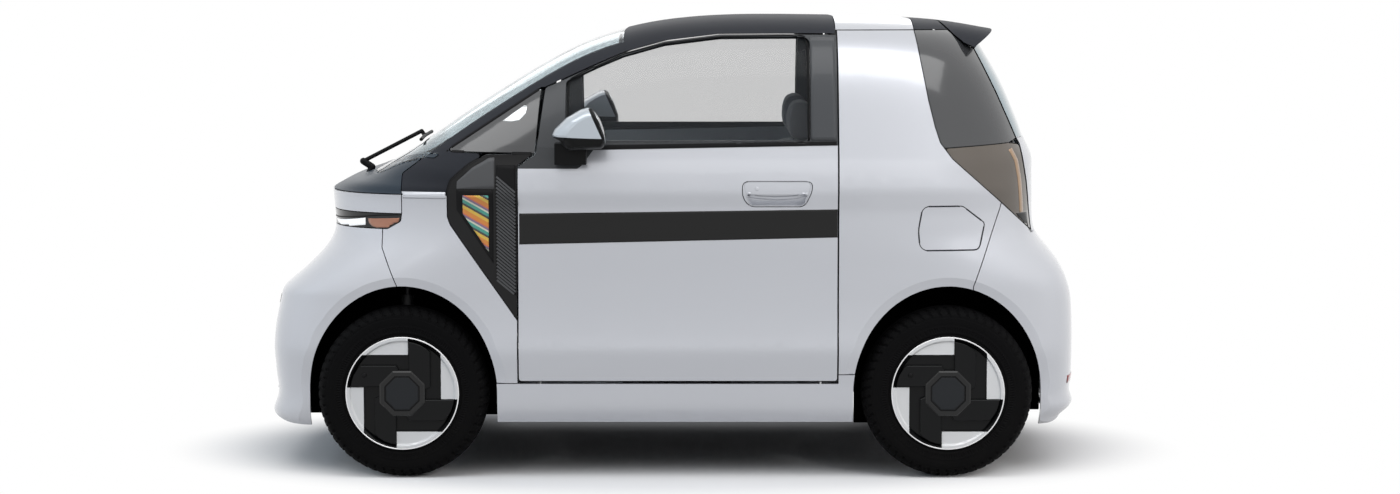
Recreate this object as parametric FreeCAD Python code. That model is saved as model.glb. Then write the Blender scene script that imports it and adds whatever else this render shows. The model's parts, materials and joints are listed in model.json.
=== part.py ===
# Two-seat electric microcar: body panels, doors, tailgate, cabin, steering and running gear.
# X runs to the rear, Y to the right and Z up. The origin is on the ground under the middle of the body.
import FreeCAD, Part
import math
import os

V = FreeCAD.Vector
os.makedirs("parts", exist_ok=True)

# Driving dimensions of the whole car, in millimetres
length = 2730.0
width = 1490.0
height = 1532.0
wheelbase = 1811.0
front_overhang = 471.0
track = 1270.0
tyre_radius = 285.0
tyre_width = 165.0
rim_radius = 190.0
half_length = length / 2
half_width = width / 2
front_axle_x = front_overhang - half_length
rear_axle_x = front_axle_x + wheelbase

# Walls and gaps
panel_wall = 20.0
roof_wall = 32.0
door_wall = 62.0
door_frame_wall = 34.0
tailgate_wall = 36.0
glass_wall = 5.0
seam_gap = 3.0
door_gap = 8.0
seat_clearance = 0.3
overrun = 40.0

# Curvature of the body in plan and over the roof, as powers of a rounded square
# by height: (height share, power)
front_power_shares = [(0.10, 7.0), (0.42, 7.0), (0.54, 4.6), (0.62, 4.2), (1.02, 4.2)]
rear_power_shares = [(0.10, 7.5), (0.42, 7.5), (0.54, 5.6), (0.70, 5.0), (1.02, 5.0)]
roof_power = 5.0

# Half width of the body side by height: (height share, half width share)
side_shares = [
    (0.095, 0.915), (0.123, 0.940), (0.156, 0.961), (0.210, 0.969), (0.261, 0.990), (0.281, 0.995),
    (0.300, 0.990), (0.326, 0.984), (0.392, 0.976), (0.457, 0.976), (0.512, 0.981), (0.574, 0.983),
    (0.594, 0.987), (0.620, 1.000), (0.653, 0.995), (0.692, 0.982), (0.720, 0.966), (0.750, 0.948),
    (0.783, 0.929), (0.849, 0.889), (0.914, 0.849), (1.000, 0.796), (1.020, 0.784),
]
# Reach of the nose by height: (height share, half length share)
front_shares = [
    (0.108, 0.978), (0.118, 0.994), (0.131, 1.000), (0.145, 0.995), (0.170, 0.987), (0.204, 0.990),
    (0.272, 0.995), (0.325, 0.990), (0.361, 0.982), (0.400, 0.971), (0.418, 0.951), (0.446, 0.914),
    (0.480, 0.877), (0.516, 0.853), (0.545, 0.849), (0.574, 0.853), (0.616, 0.859),
]
# Reach of the tail by height: (height share, half length share)
rear_shares = [
    (0.108, 0.960), (0.121, 0.972), (0.134, 0.988), (0.150, 1.000), (0.170, 0.994), (0.228, 0.997),
    (0.317, 0.997), (0.385, 0.993), (0.422, 0.982), (0.457, 0.963), (0.491, 0.935), (0.526, 0.908),
    (0.555, 0.902), (0.620, 0.902), (0.685, 0.902), (0.702, 0.897), (0.716, 0.889), (0.767, 0.868),
    (0.813, 0.847), (0.869, 0.818), (0.936, 0.776), (0.979, 0.752),
]
# Ribs over the roof: (length share and height share of the crown, then of the rib's foot, power)
nose_top_share = 0.616
rib_shares = [
    (-0.4295, 0.616, 0.000, 0.616, 4.0), (-0.420, 0.625, 0.005, 0.617, 4.1),
    (-0.410, 0.633, 0.008, 0.618, 4.3), (-0.388, 0.646, 0.012, 0.621, 4.6),
    (-0.370, 0.659, 0.016, 0.624, 5.0), (-0.3626, 0.666, 0.018, 0.627, 5.2),
    (-0.355, 0.6745, 0.021, 0.630, 5.4), (-0.335, 0.695, 0.026, 0.637, 5.7),
    (-0.3015, 0.734, 0.034, 0.648, 6.0), (-0.2667, 0.777, 0.041, 0.658, 6.0),
    (-0.2194, 0.832, 0.051, 0.672, 6.0), (-0.164, 0.892, 0.062, 0.684, 6.0),
    (-0.113, 0.9385, 0.073, 0.692, 5.8), (-0.065, 0.967, 0.081, 0.697, 5.5),
    (-0.026, 0.9825, 0.089, 0.700, 5.3), (0.0135, 0.992, 0.098, 0.700, 5.1),
    (0.060, 0.998, 0.111, 0.700, 5.0), (0.120, 1.000, 0.140, 0.700, 5.0),
    (0.204, 0.9985, 0.204, 0.700, 5.0), (0.260, 0.996, 0.260, 0.700, 5.0),
    (0.3025, 0.9925, 0.3025, 0.700, 5.0), (0.346, 0.986, 0.346, 0.700, 5.0),
    (0.366, 0.981, 0.366, 0.700, 5.0), (0.385, 0.975, 0.385, 0.700, 5.0), (0.408, 0.9685, 0.408, 0.700, 5.0),
]
roof_base_share = 0.700
lip_share = 0.90

# Where the panels meet, as shares of length and height
side_front_share = -0.285
side_rear_share = 0.247
door_front_share = -0.1868
door_rear_share = 0.2022
belt_share = 0.7195


def smooth(table, at):
    """A smooth value between the pairs of a table, with no overshoot."""
    if at <= table[0][0]:
        return table[0][1]
    if at >= table[-1][0]:
        return table[-1][1]
    i = max(k for k in range(len(table) - 1) if table[k][0] <= at)

    def slope(k):
        return (table[k + 1][1] - table[k][1]) / (table[k + 1][0] - table[k][0])

    def tangent(k):
        if k == 0 or k == len(table) - 1:
            return slope(min(k, len(table) - 2))
        before, after = slope(k - 1), slope(k)
        return 0.0 if before * after <= 0 else 2 * before * after / (before + after)

    span = table[i + 1][0] - table[i][0]
    t = (at - table[i][0]) / span
    h00 = 2 * t ** 3 - 3 * t ** 2 + 1
    h10 = t ** 3 - 2 * t ** 2 + t
    h01 = 3 * t ** 2 - 2 * t ** 3
    h11 = t ** 3 - t ** 2
    return h00 * table[i][1] + h10 * span * tangent(i) + h01 * table[i + 1][1] + h11 * span * tangent(i + 1)


def side_half(z):
    return half_width * smooth(side_shares, z / height)


def front_reach(z):
    return half_length * smooth(front_shares, min(z / height, nose_top_share))


def rear_reach(z):
    return half_length * smooth(rear_shares, z / height)


def front_power(z):
    return smooth(front_power_shares, z / height)


def rear_power(z):
    return smooth(rear_power_shares, z / height)


def rounded_square(angle, power):
    """Cosine and sine legs of a rounded square of half size 1 at that angle."""
    c, s = abs(math.cos(angle)), abs(math.sin(angle))
    r = (c ** power + s ** power) ** (-1 / power)
    return r * math.cos(angle), r * math.sin(angle)


def falloff(share, power):
    """How much of the half width is left at that share of the way to an end."""
    return (1 - min(max(share, 0.0), 1.0) ** power) ** (1 / power)


roof_line = [(r[0], r[1]) for r in rib_shares]


def roof_factor(x, z):
    crown = height * smooth(roof_line, x / length)
    base = height * roof_base_share
    return falloff((z - base) / (crown - base), roof_power)


def front_point(z, angle, inset):
    along, across = rounded_square(angle, front_power(z))
    return V(-(front_reach(z) - inset) * along, (side_half(z) - inset) * across, z)


def rear_point(z, angle, inset):
    along, across = rounded_square(angle, rear_power(z))
    x = (rear_reach(z) - inset) * along
    return V(x, (side_half(z) * roof_factor(x, z) - inset) * across, z)


def side_point(x, z, inset):
    if x < 0:
        share = falloff(-x / front_reach(z), front_power(z))
    else:
        share = falloff(x / rear_reach(z), rear_power(z))
    return V(x, -(side_half(z) * share - inset), z)


def top_point(rib, slope, angle, inset):
    """A point on a rib from its crown down to its foot, both as shares."""
    crown = V(rib[0] * length, 0, rib[1] * height)
    foot = V(rib[2] * length, 0, rib[3] * height)
    run = foot - crown
    steep = abs(run.normalize().cross(slope).Length)
    foot_run = (foot - crown).Length
    start = inset / max(steep, 0.35)
    along, across = rounded_square(angle, rib[4])
    place = crown + run * (start + (foot_run - start) * (1 - along))
    wide = side_half(place.z)
    if place.x > 0:
        reach = max(rear_reach(place.z), place.x / lip_share)
        wide *= falloff(place.x / reach, rear_power(place.z))
    return V(place.x, (wide - inset) * across, place.z)


def grid_face(rows):
    surface = Part.BSplineSurface()
    surface.interpolate(rows)
    return surface


def edges_of(surface):
    u0, u1, v0, v1 = surface.bounds()
    return [surface.uIso(u0), surface.vIso(v1), surface.uIso(u1), surface.vIso(v0)]


def wall(outer_rows, inner_rows):
    """A solid between two matching grids of points."""
    outer, inner = grid_face(outer_rows), grid_face(inner_rows)
    faces = [outer.toShape(), inner.toShape()]
    for a, b in zip(edges_of(outer), edges_of(inner)):
        faces.append(Part.makeRuledSurface(a.toShape(), b.toShape()))
    shell = Part.makeShell(faces)
    shell.sewShape()
    solid = Part.Solid(shell)
    if solid.Volume < 0:
        solid.reverse()
    return solid


def spaced(low, high, count):
    return [low + (high - low) * i / (count - 1) for i in range(count)]


wrap_angle = math.radians(74)
front_heights = [height * s for s in (
    0.108, 0.118, 0.131, 0.145, 0.170, 0.204, 0.240, 0.272, 0.300, 0.325, 0.361, 0.385, 0.400, 0.418, 0.446,
    0.480, 0.516, 0.545, 0.574, 0.594, 0.616)]
side_heights = [height * s for s in (
    0.110, 0.123, 0.140, 0.156, 0.180, 0.210, 0.240, 0.261, 0.281, 0.300, 0.326, 0.360, 0.392, 0.457,
    0.512, 0.550, 0.574, 0.594, 0.607, 0.620, 0.636, 0.653, 0.672, 0.692, 0.706, 0.720, 0.735)]
rear_heights = [height * s for s in (
    0.108, 0.121, 0.134, 0.150, 0.170, 0.200, 0.228, 0.270, 0.317, 0.350, 0.385, 0.422, 0.457, 0.491, 0.526,
    0.555, 0.590, 0.620, 0.653, 0.685, 0.702, 0.720, 0.750, 0.783, 0.820, 0.860, 0.900, 0.930, 0.955, 0.970)]


def front_wall(outer, inner):
    angles = spaced(-wrap_angle, wrap_angle, 41)
    return wall([[front_point(z, a, outer) for a in angles] for z in front_heights],
                [[front_point(z, a, inner) for a in angles] for z in front_heights])


def rear_wall(outer, inner):
    angles = spaced(-wrap_angle, wrap_angle, 49)
    return wall([[rear_point(z, a, outer) for a in angles] for z in rear_heights],
                [[rear_point(z, a, inner) for a in angles] for z in rear_heights])


def side_wall(outer, inner):
    """The left side between the wheels."""
    places = spaced(length * side_front_share, length * side_rear_share, 19)
    return wall([[side_point(x, z, outer) for x in places] for z in side_heights],
                [[side_point(x, z, inner) for x in places] for z in side_heights])


def top_wall(outer, inner):
    angles = spaced(-math.pi / 2, math.pi / 2, 61)
    slopes = []
    for i in range(len(rib_shares)):
        a, b = rib_shares[max(i - 1, 0)], rib_shares[min(i + 1, len(rib_shares) - 1)]
        slopes.append(V((b[0] - a[0]) * length, 0, (b[1] - a[1]) * height).normalize())
    pairs = list(zip(rib_shares, slopes))
    return wall([[top_point(r, s, a, outer) for a in angles] for r, s in pairs],
                [[top_point(r, s, a, inner) for a in angles] for r, s in pairs])


def rounded_wire(points, radii, y):
    """A closed outline in the side view, with each corner rounded by its radius."""
    count = len(points)
    corners = []
    for i in range(count):
        p, before, after = points[i], points[i - 1], points[(i + 1) % count]
        to_before, to_after = before - p, after - p
        room = 0.45 * min(to_before.Length, to_after.Length)
        to_before.normalize()
        to_after.normalize()
        half_turn = to_before.getAngle(to_after) / 2
        if radii[i] <= 0 or half_turn > math.radians(88.5):
            corners.append((p, None, p))
            continue
        leg = min(radii[i] / math.tan(half_turn), room)
        middle = (to_before + to_after).normalize()
        radius = leg * math.tan(half_turn)
        centre = p + middle * (leg / math.cos(half_turn))
        corners.append((p + to_before * leg, centre - middle * radius, p + to_after * leg))
    edges = []
    for i in range(count):
        start, through, end = corners[i]
        if through is not None:
            edges.append(Part.Arc(start, through, end).toShape())
        following = corners[(i + 1) % count][0]
        if (following - end).Length > 1e-6:
            edges.append(Part.LineSegment(end, following).toShape())
    wire = Part.Wire(edges)
    wire.translate(V(0, y, 0))
    return wire


def prism(outline, gap=0.0, side=0):
    """Everything inside a side-view outline of (length share, height share, radius) points.

    side -1 keeps the left half, 1 the right half and 0 both.
    """
    points = [V(x * length, 0, z * height) for x, z, r in outline]
    wire = rounded_wire(points, [r for x, z, r in outline], 0)
    face = Part.Face(wire)
    if gap:
        face = Part.Face(face.makeOffset2D(-gap).Wires[0])
    reach = half_width + overrun
    low = 0.0 if side > 0 else -reach
    high = 0.0 if side < 0 else reach
    face.translate(V(0, low, 0))
    return face.extrude(V(0, high - low, 0))


def mirrored(shape):
    return shape.mirror(V(0, 0, 0), V(0, 1, 0))


def box(x0, x1, y0, y1, z0, z1):
    return Part.makeBox(x1 - x0, y1 - y0, z1 - z0, V(x0, y0, z0))


def save(name, shape):
    shape.exportStep("parts/" + name + ".step")


# Wheel openings and the liners behind them
arch_half_length = 315.0
arch_rise = 356.0
liner_room = 30.0
liner_wall = 6.0
liner_inner_y = 404.0
rear_liner_inner_y = 480.0


def ellipse_face(axle_x, half, rise):
    """The upper half of an ellipse about a hub, with the legs taken straight down."""
    hub = tyre_radius
    curve = Part.Ellipse(V(axle_x, 0, hub + rise), V(axle_x + half, 0, hub), V(axle_x, 0, hub))
    whole = Part.Face(Part.Wire(curve.toShape()))
    below = box(axle_x - half, axle_x + half, -overrun, overrun, -overrun, hub)
    above = whole.cut(below).Faces[0]
    legs = Part.makePolygon([V(axle_x - half, 0, -overrun), V(axle_x + half, 0, -overrun),
                             V(axle_x + half, 0, hub), V(axle_x - half, 0, hub), V(axle_x - half, 0, -overrun)])
    return above, Part.Face(legs)


def arch(axle_x, grow, y0, y1):
    """The room of a wheel opening between two side planes, grown by some clearance."""
    parts = []
    for face in ellipse_face(axle_x, arch_half_length + grow, arch_rise + grow):
        face.translate(V(0, y0, 0))
        parts.append(face.extrude(V(0, y1 - y0, 0)))
    return parts[0].fuse(parts[1]).removeSplitter()


def inner_part(shape, probe):
    """The solid of a shape that holds a point."""
    for solid in shape.Solids:
        if solid.isInside(probe, 1e-3, True):
            return solid
    raise ValueError("no solid at the probe")


# Outlines in the side view: (length share, height share, corner radius share of the height)
far_share = 0.56
low_share = 0.07
bumper_shares = [
    (-far_share, low_share, 0), (-far_share, 0.5405, 0), (-0.3522, 0.5405, 0), (-0.3522, 0.5010, 0.01),
    (-0.3327, 0.4140, 0), (-0.3327, low_share, 0),
]
wing_shares = [
    (-0.3327, low_share, 0), (-0.3327, 0.4140, 0), (-0.3522, 0.5010, 0.01), (-0.3522, 0.5405, 0),
    (-0.3461, 0.5405, 0.01), (-0.3294, 0.5575, 0.006), (-0.3280, 0.5740, 0), (-0.3280, 0.6160, 0),
    (-0.2717, 0.6160, 0), (-0.2717, 0.5694, 0.01), (-0.2681, 0.5520, 0.01), (-0.1868, 0.3455, 0),
    (-0.1868, 0.2079, 0), (-0.2200, 0.2079, 0), (-0.2200, low_share, 0),
]
nose_shares = [(-far_share, 0.5740, 0), (-0.3280, 0.5740, 0), (-0.3280, 0.6160, 0), (-far_share, 0.6160, 0)]
headlamp_shares = [
    (-far_share, 0.5740, 0), (-0.3280, 0.5740, 0.004), (-0.3294, 0.5575, 0.008), (-0.3461, 0.5405, 0.012),
    (-far_share, 0.5405, 0),
]
garnish_shares = [
    (-0.1868, 0.3455, 0), (-0.2681, 0.5520, 0.01), (-0.2717, 0.5694, 0.01), (-0.2717, 0.6249, 0.01),
    (-0.2671, 0.6490, 0.012), (-0.2458, 0.6820, 0.01), (-0.2244, 0.7046, 0.01), (-0.1660, 0.7064, 0),
    (-0.1868, 0.6789, 0.01),
]
cowl_shares = [
    (-far_share, 0.6160, 0), (-far_share, 0.6650, 0), (-0.3626, 0.6650, 0), (-0.3326, 0.6890, 0.02),
    (-0.3110, 0.6994, 0.01), (-0.2844, 0.7037, 0), (-0.2841, 0.6990, 0), (-0.2890, 0.6939, 0.004),
    (-0.3031, 0.6939, 0.004), (-0.3286, 0.6597, 0.01), (-0.3286, 0.6160, 0),
]
roof_shares = [
    (-0.3286, 0.6160, 0), (-0.3286, 0.6597, 0.01), (-0.3031, 0.6939, 0.004), (-0.2890, 0.6939, 0.004),
    (-0.2841, 0.6990, 0), (-0.2844, 0.7037, 0), (-0.3110, 0.6994, 0.01), (-0.3326, 0.6890, 0.02),
    (-0.3626, 0.6650, 0), (-0.4200, 0.6650, 0), (-0.4200, 1.0500, 0), (0.2004, 1.0500, 0),
    (0.2004, 0.9612, 0), (0.1364, 0.9620, 0.02), (0.0585, 0.9612, 0.02), (-0.0092, 0.9463, 0.04),
    (-0.0585, 0.9220, 0.04), (-0.0890, 0.8990, 0.04), (-0.1260, 0.8690, 0.02), (-0.1549, 0.8460, 0),
    (-0.1588, 0.8457, 0),
    (-0.2748, 0.7092, 0.004), (-0.2244, 0.7046, 0.01), (-0.2458, 0.6820, 0.01), (-0.2671, 0.6490, 0.012),
    (-0.2717, 0.6249, 0.01), (-0.2717, 0.6160, 0),
]
quarter_glass_shares = [(-0.2748, 0.7092, 0.004), (-0.1590, 0.8450, 0.004), (-0.1650, 0.7064, 0.002)]
door_shares = [
    (-0.1868, 0.2112, 0.008), (-0.1868, 0.6789, 0.01), (-0.1650, 0.7064, 0.004), (-0.1549, 0.8460, 0.006),
    (-0.1260, 0.8690, 0.02), (-0.0890, 0.8990, 0.04), (-0.0585, 0.9220, 0.04), (-0.0092, 0.9463, 0.04),
    (0.0585, 0.9612, 0.02), (0.1364, 0.9620, 0.02), (0.2022, 0.9612, 0.004), (0.2022, 0.2112, 0.008),
]
window_shares = [
    (-0.1262, 0.7330, 0.006), (-0.1262, 0.8560, 0.006), (-0.0886, 0.8875, 0.04), (-0.0582, 0.9100, 0.04),
    (-0.0090, 0.9343, 0.04), (0.0584, 0.9490, 0.03), (0.1361, 0.9500, 0.02), (0.1661, 0.9500, 0.012),
    (0.1661, 0.7330, 0.01),
]
hoop_shares = [
    (0.2022, 0.2274, 0), (0.2022, 0.9690, 0), (0.2984, 0.9690, 0), (0.2986, 0.9640, 0.02),
    (0.3035, 0.9046, 0.05), (0.3122, 0.8167, 0.05), (0.3196, 0.7617, 0.03), (0.3256, 0.7280, 0.02),
    (0.3403, 0.6931, 0.02), (0.3709, 0.6451, 0.02), (0.4015, 0.5972, 0), (0.4004, 0.5879, 0),
    (0.3662, 0.4184, 0), (0.3662, 0.2274, 0),
]
roof_band_shares = [(0.2004, 0.9690, 0), (0.2004, 1.0500, 0), (0.2966, 1.0500, 0), (0.2984, 0.9690, 0)]
side_glass_shares = [
    (0.2984, 0.9690, 0), (0.2986, 0.9640, 0.02), (0.3035, 0.9046, 0.05), (0.3122, 0.8167, 0.05),
    (0.3196, 0.7617, 0.03), (0.3256, 0.7280, 0.01), (0.3307, 0.7160, 0), (0.4124, 0.7245, 0), (0.4232, 0.7327, 0),
    (0.3984, 0.8333, 0.05), (0.3731, 0.9283, 0.01), (0.3602, 0.9387, 0.01), (0.3474, 0.9580, 0.01),
    (0.3415, 0.9690, 0),
]
rear_roof_shares = [
    (0.2984, 0.9690, 0), (0.2966, 1.0500, 0), (0.3337, 1.0500, 0), (0.3337, 0.9858, 0.01), (0.3415, 0.9690, 0),
]
tail_lamp_shares = [
    (0.3307, 0.7160, 0.004), (0.4124, 0.7245, 0.01), (0.4273, 0.7197, 0.01), (0.4356, 0.6392, 0.05),
    (0.4428, 0.5320, 0.002), (0.4382, 0.5383, 0), (0.4015, 0.5972, 0.02), (0.3709, 0.6451, 0.02),
    (0.3403, 0.6931, 0.02),
]
tailgate_shares = [
    (0.3731, 0.9283, 0), (0.3984, 0.8333, 0.05), (0.4232, 0.7327, 0.01), (0.4273, 0.7197, 0.01),
    (0.4356, 0.6392, 0.05), (0.4428, 0.5260, 0), (far_share, 0.5260, 0), (far_share, 0.9600, 0),
    (0.3977, 0.9602, 0),
]
spoiler_shares = [
    (0.3337, 1.0500, 0), (0.3337, 0.9858, 0.01), (0.3474, 0.9580, 0.01), (0.3602, 0.9387, 0.01),
    (0.3731, 0.9283, 0), (0.3977, 0.9602, 0.01), (0.4040, 0.9690, 0.002), (0.4060, 1.0500, 0),
]
rear_bumper_shares = [
    (0.4015, 0.5972, 0), (0.4382, 0.5383, 0), (0.4428, 0.5260, 0), (far_share, 0.5260, 0),
    (far_share, low_share, 0), (0.3662, low_share, 0), (0.3662, 0.4184, 0), (0.4004, 0.5879, 0),
]
sill_shares = [
    (-0.2600, 0.2079, 0), (-0.2600, 0.1212, 0.006), (0.2600, 0.1212, 0.006), (0.2600, 0.2274, 0),
    (0.2022, 0.2274, 0), (0.2022, 0.2079, 0),
]
flap_shares = [
    (0.3040, 0.5916, 0.018), (0.3529, 0.5916, 0.015), (0.3805, 0.5540, 0.010), (0.3730, 0.4970, 0.012),
    (0.3010, 0.4965, 0.018), (0.2985, 0.5400, 0.05),
]


def outline(shares):
    return [(x, z, r * height) for x, z, r in shares]


def panel(family, shares, gap=seam_gap, side=0, holes=()):
    """One body panel: a piece of a thick wall inside an outline, set back by half the seam all round."""
    piece = family.common(prism(outline(shares), gap / 2, side))
    for hole in holes:
        piece = piece.cut(hole)
    return piece


def solids_of(shape):
    """The same solids without any shell or face left over."""
    whole = [s for s in shape.Solids if s.Volume > 1.0]
    return whole[0] if len(whole) == 1 else Part.makeCompound(whole)


def pair(shape):
    """A left solid and its mirror image on the right."""
    return Part.makeCompound([shape, mirrored(shape)])


def both_halves(shape):
    """One solid from a left half that ends at the middle of the car."""
    return shape.fuse(mirrored(shape)).removeSplitter()


def cut_to(shape, walls, probe):
    """Trim a plate to the inside of the panels' walls."""
    for one in walls:
        shape = shape.cut(one)
    return inner_part(shape, probe)


def rod(start, end, radius):
    line = end - start
    return Part.makeCylinder(radius, line.Length, start, line)


# The bevel round each wheel opening
bevel_width = 30.0
bevel_depth = 11.0
bevel_lap = 10.0
bevel_low_z = 110.0
bevel_leg_points = 4
bevel_arc_points = 25


def arch_path(axle_x, grow):
    """Points up one leg of a wheel opening, over its ellipse and down the other leg."""
    half, rise = arch_half_length + grow, arch_rise + grow
    legs = spaced(bevel_low_z, tyre_radius, bevel_leg_points)[:-1]
    points = [(axle_x - half, z) for z in legs]
    for angle in spaced(0, math.pi, bevel_arc_points):
        points.append((axle_x - half * math.cos(angle), tyre_radius + rise * math.sin(angle)))
    return points + [(axle_x + half, z) for z in reversed(legs)]


def arch_bevel(axle_x):
    """What the bevel takes off the left side: a strip that sinks towards the opening."""
    outer_rows, inner_rows = [], []
    for grow in (-bevel_lap, 0.0, bevel_width, bevel_width + bevel_lap):
        inset = bevel_depth * (1 - grow / bevel_width)
        path = arch_path(axle_x, grow)
        outer_rows.append([side_point(x, z, -overrun) for x, z in path])
        inner_rows.append([side_point(x, z, inset) for x, z in path])
    return wall(outer_rows, inner_rows)


side_reach = half_width + overrun
nose_reach = half_length + overrun
wing_walls = front_wall(0, panel_wall)
tail_walls = rear_wall(0, panel_wall)
flank_walls = side_wall(0, panel_wall)
door_walls = side_wall(0, door_wall)
roof_walls = top_wall(0, roof_wall)
arches = arch(front_axle_x, 0.0, -side_reach, side_reach).fuse(arch(rear_axle_x, 0.0, -side_reach, side_reach))
front_bevel = arch_bevel(front_axle_x)
rear_bevel = arch_bevel(rear_axle_x)

# Hinge pins in the gaps about which the doors, the tailgate and the charging flap turn
hinge_radius = 2.4
flap_hinge_radius = 1.2
door_hinge_length = 60.0
door_hinge_shares = (0.281, 0.612)
hinge_leaf = 8.0
door_hinge_x = door_front_share * length + (door_gap - seam_gap) / 4
door_skin_share = 0.620
hinge_inset = 1.0
door_hinge_y = -side_point(door_hinge_x, door_skin_share * height, hinge_inset).y
gate_hinge_share = 0.3337
gate_hinge_drop = 4.0
gate_hinge_half = 20.0
gate_hinge_x = gate_hinge_share * length + (door_gap - seam_gap) / 4
gate_hinge_z = height * smooth(roof_line, gate_hinge_share) - gate_hinge_drop
gate_hinge_y = 250.0
flap_hinge_share = 0.2985
flap_hinge_inset = 0.9
flap_hinge_half = 10.0
flap_hinge_x = flap_hinge_share * length - flap_hinge_inset
flap_hinge_z = 0.54 * height
flap_hinge_y = -side_point(flap_hinge_x, flap_hinge_z, flap_hinge_radius).y


def gate_pins():
    pins = []
    for y in (-gate_hinge_y, gate_hinge_y):
        pins.append(rod(V(gate_hinge_x, y - gate_hinge_half, gate_hinge_z),
                        V(gate_hinge_x, y + gate_hinge_half, gate_hinge_z), hinge_radius))
    return pins


def flap_pin():
    return rod(V(flap_hinge_x, -flap_hinge_y, flap_hinge_z - flap_hinge_half),
               V(flap_hinge_x, -flap_hinge_y, flap_hinge_z + flap_hinge_half), flap_hinge_radius)


def door_pins():
    """Pins at the front edge of the left door, each on a leaf that bears on the panel ahead of it."""
    pins = []
    edge_x = door_front_share * length - seam_gap / 2
    for share in door_hinge_shares:
        low = share * height - door_hinge_length / 2
        high = low + door_hinge_length
        pin = rod(V(door_hinge_x, -door_hinge_y, low), V(door_hinge_x, -door_hinge_y, high), hinge_radius)
        leaf = box(edge_x, door_hinge_x, -door_hinge_y, -door_hinge_y + hinge_leaf, low, high)
        pins.append(pin.fuse(leaf).removeSplitter())
    return pins


def hinges():
    pins = door_pins()
    save("hinge_pins", Part.makeCompound(pins + [mirrored(p) for p in pins] + gate_pins() + [flap_pin()]))


grille_half = 330.0


def front_panels():
    bevels = [arches, front_bevel]
    bumper = panel(wing_walls, bumper_shares, side=-1, holes=bevels)
    save("front_bumper", solids_of(both_halves(bumper)))
    save("nose_panel", solids_of(panel(wing_walls, nose_shares)))
    lamps = panel(wing_walls, headlamp_shares)
    middle = box(-nose_reach, 0, -grille_half, grille_half, 0, height)
    gap = box(-nose_reach, 0, -grille_half - seam_gap, grille_half + seam_gap, 0, height)
    save("headlamps", solids_of(lamps.cut(gap)))
    save("nose_grille", solids_of(lamps.common(middle)))
    wing = panel(wing_walls, wing_shares, side=-1, holes=bevels)
    save("wings", pair(solids_of(wing)))
    garnish = panel(flank_walls, garnish_shares, side=-1)
    save("side_garnish", pair(solids_of(garnish)))


# Windscreen: its opening in plan, the ledge it lies on and the line where it stands on the cowl
screen_foot_half = 600.0
screen_head_half = 500.0
screen_head_share = -0.065
screen_foot_share = -0.30
screen_lap = 18.0
glass_inset = 2.0
screen_base_shares = [
    (-0.4200, 0.6650, 0), (-0.3626, 0.6650, 0), (-0.3326, 0.6890, 0.02), (-0.3110, 0.6994, 0.01),
    (-0.2844, 0.7037, 0), (-0.1500, 0.7037, 0), (0.0500, 1.1000, 0), (-0.4200, 1.1000, 0),
]


def screen_room(lap):
    """The windscreen's room, grown by a lap: narrower at the roof, and above its base line."""
    foot, head = screen_foot_share * length, screen_head_share * length
    corners = [(-half_length, screen_foot_half + lap), (foot, screen_foot_half + lap),
               (head + lap, screen_head_half + lap)]
    ring = [V(x, -y, 0) for x, y in corners] + [V(x, y, 0) for x, y in reversed(corners)]
    plan = Part.Face(Part.makePolygon(ring + [ring[0]])).extrude(V(0, 0, height + overrun))
    return plan.common(prism(outline([(x, z - lap / height, r) for x, z, r in screen_base_shares])))


def roof_panels():
    opening = screen_room(0)
    rebate = top_wall(-overrun / 4, glass_inset + glass_wall).common(screen_room(screen_lap))
    save("cowl_panel", solids_of(panel(roof_walls, cowl_shares, holes=[rebate])))
    pane = top_wall(glass_inset, glass_inset + glass_wall)
    save("windscreen", solids_of(pane.common(screen_room(screen_lap - seam_gap))))
    roof = both_halves(panel(roof_walls, roof_shares, side=-1, holes=[opening, rebate]))
    rear_roof = panel(roof_walls, rear_roof_shares, holes=gate_pins())
    save("roof_shell", Part.makeCompound(roof.Solids + rear_roof.Solids))
    quarter = panel(top_wall(glass_inset, roof_wall), quarter_glass_shares, side=-1)
    rear = panel(tail_walls, side_glass_shares, side=-1)
    save("side_glass", Part.makeCompound([pair(solids_of(quarter)), pair(solids_of(rear))]))


flap_wall = 6.0


def tail_panels():
    left = panel(tail_walls, hoop_shares, side=-1, holes=[arches, rear_bevel])
    right = mirrored(left)
    left = left.cut(prism(outline(flap_shares), -seam_gap / 2, -1)).cut(flap_pin())
    band = panel(roof_walls, roof_band_shares)
    save("hoop_panels", Part.makeCompound(left.Solids + right.Solids + band.Solids))
    save("tail_lamps", pair(solids_of(panel(tail_walls, tail_lamp_shares, side=-1))))
    bumper = panel(tail_walls, rear_bumper_shares, side=-1, holes=[arches, rear_bevel])
    save("rear_bumper", solids_of(both_halves(bumper)))
    flap = panel(rear_wall(0, flap_wall), flap_shares, side=-1)
    save("charge_flap", solids_of(flap))
    sill = panel(door_walls, sill_shares, side=-1, holes=[arches])
    save("sills", pair(solids_of(sill)))


tailgate_frame = 70.0
tailgate_glass_share = 0.7330
tailgate_window_shares = (0.7560, 0.9050)
tailgate_window_half = 400.0


def tailgate_parts():
    gate = panel(rear_wall(0, tailgate_wall), tailgate_shares, gap=door_gap)
    foot_z = tailgate_glass_share * height
    above = box(0, nose_reach, -half_width, half_width, foot_z, height)
    rebate = rear_wall(-overrun / 4, glass_wall + glass_inset).common(above)
    low, high = [s * height for s in tailgate_window_shares]
    window = box(0, nose_reach, -tailgate_window_half, tailgate_window_half, low, high)
    save("tailgate", solids_of(gate.cut(rebate).cut(window)))
    lifted = box(0, nose_reach, -half_width, half_width, foot_z + seam_gap, height)
    pane = panel(rear_wall(glass_inset, glass_wall + glass_inset), tailgate_shares, gap=door_gap)
    save("tailgate_glass", solids_of(pane.common(lifted)))
    save("spoiler", solids_of(panel(top_wall(0, tailgate_frame), spoiler_shares, gap=door_gap)))


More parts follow.
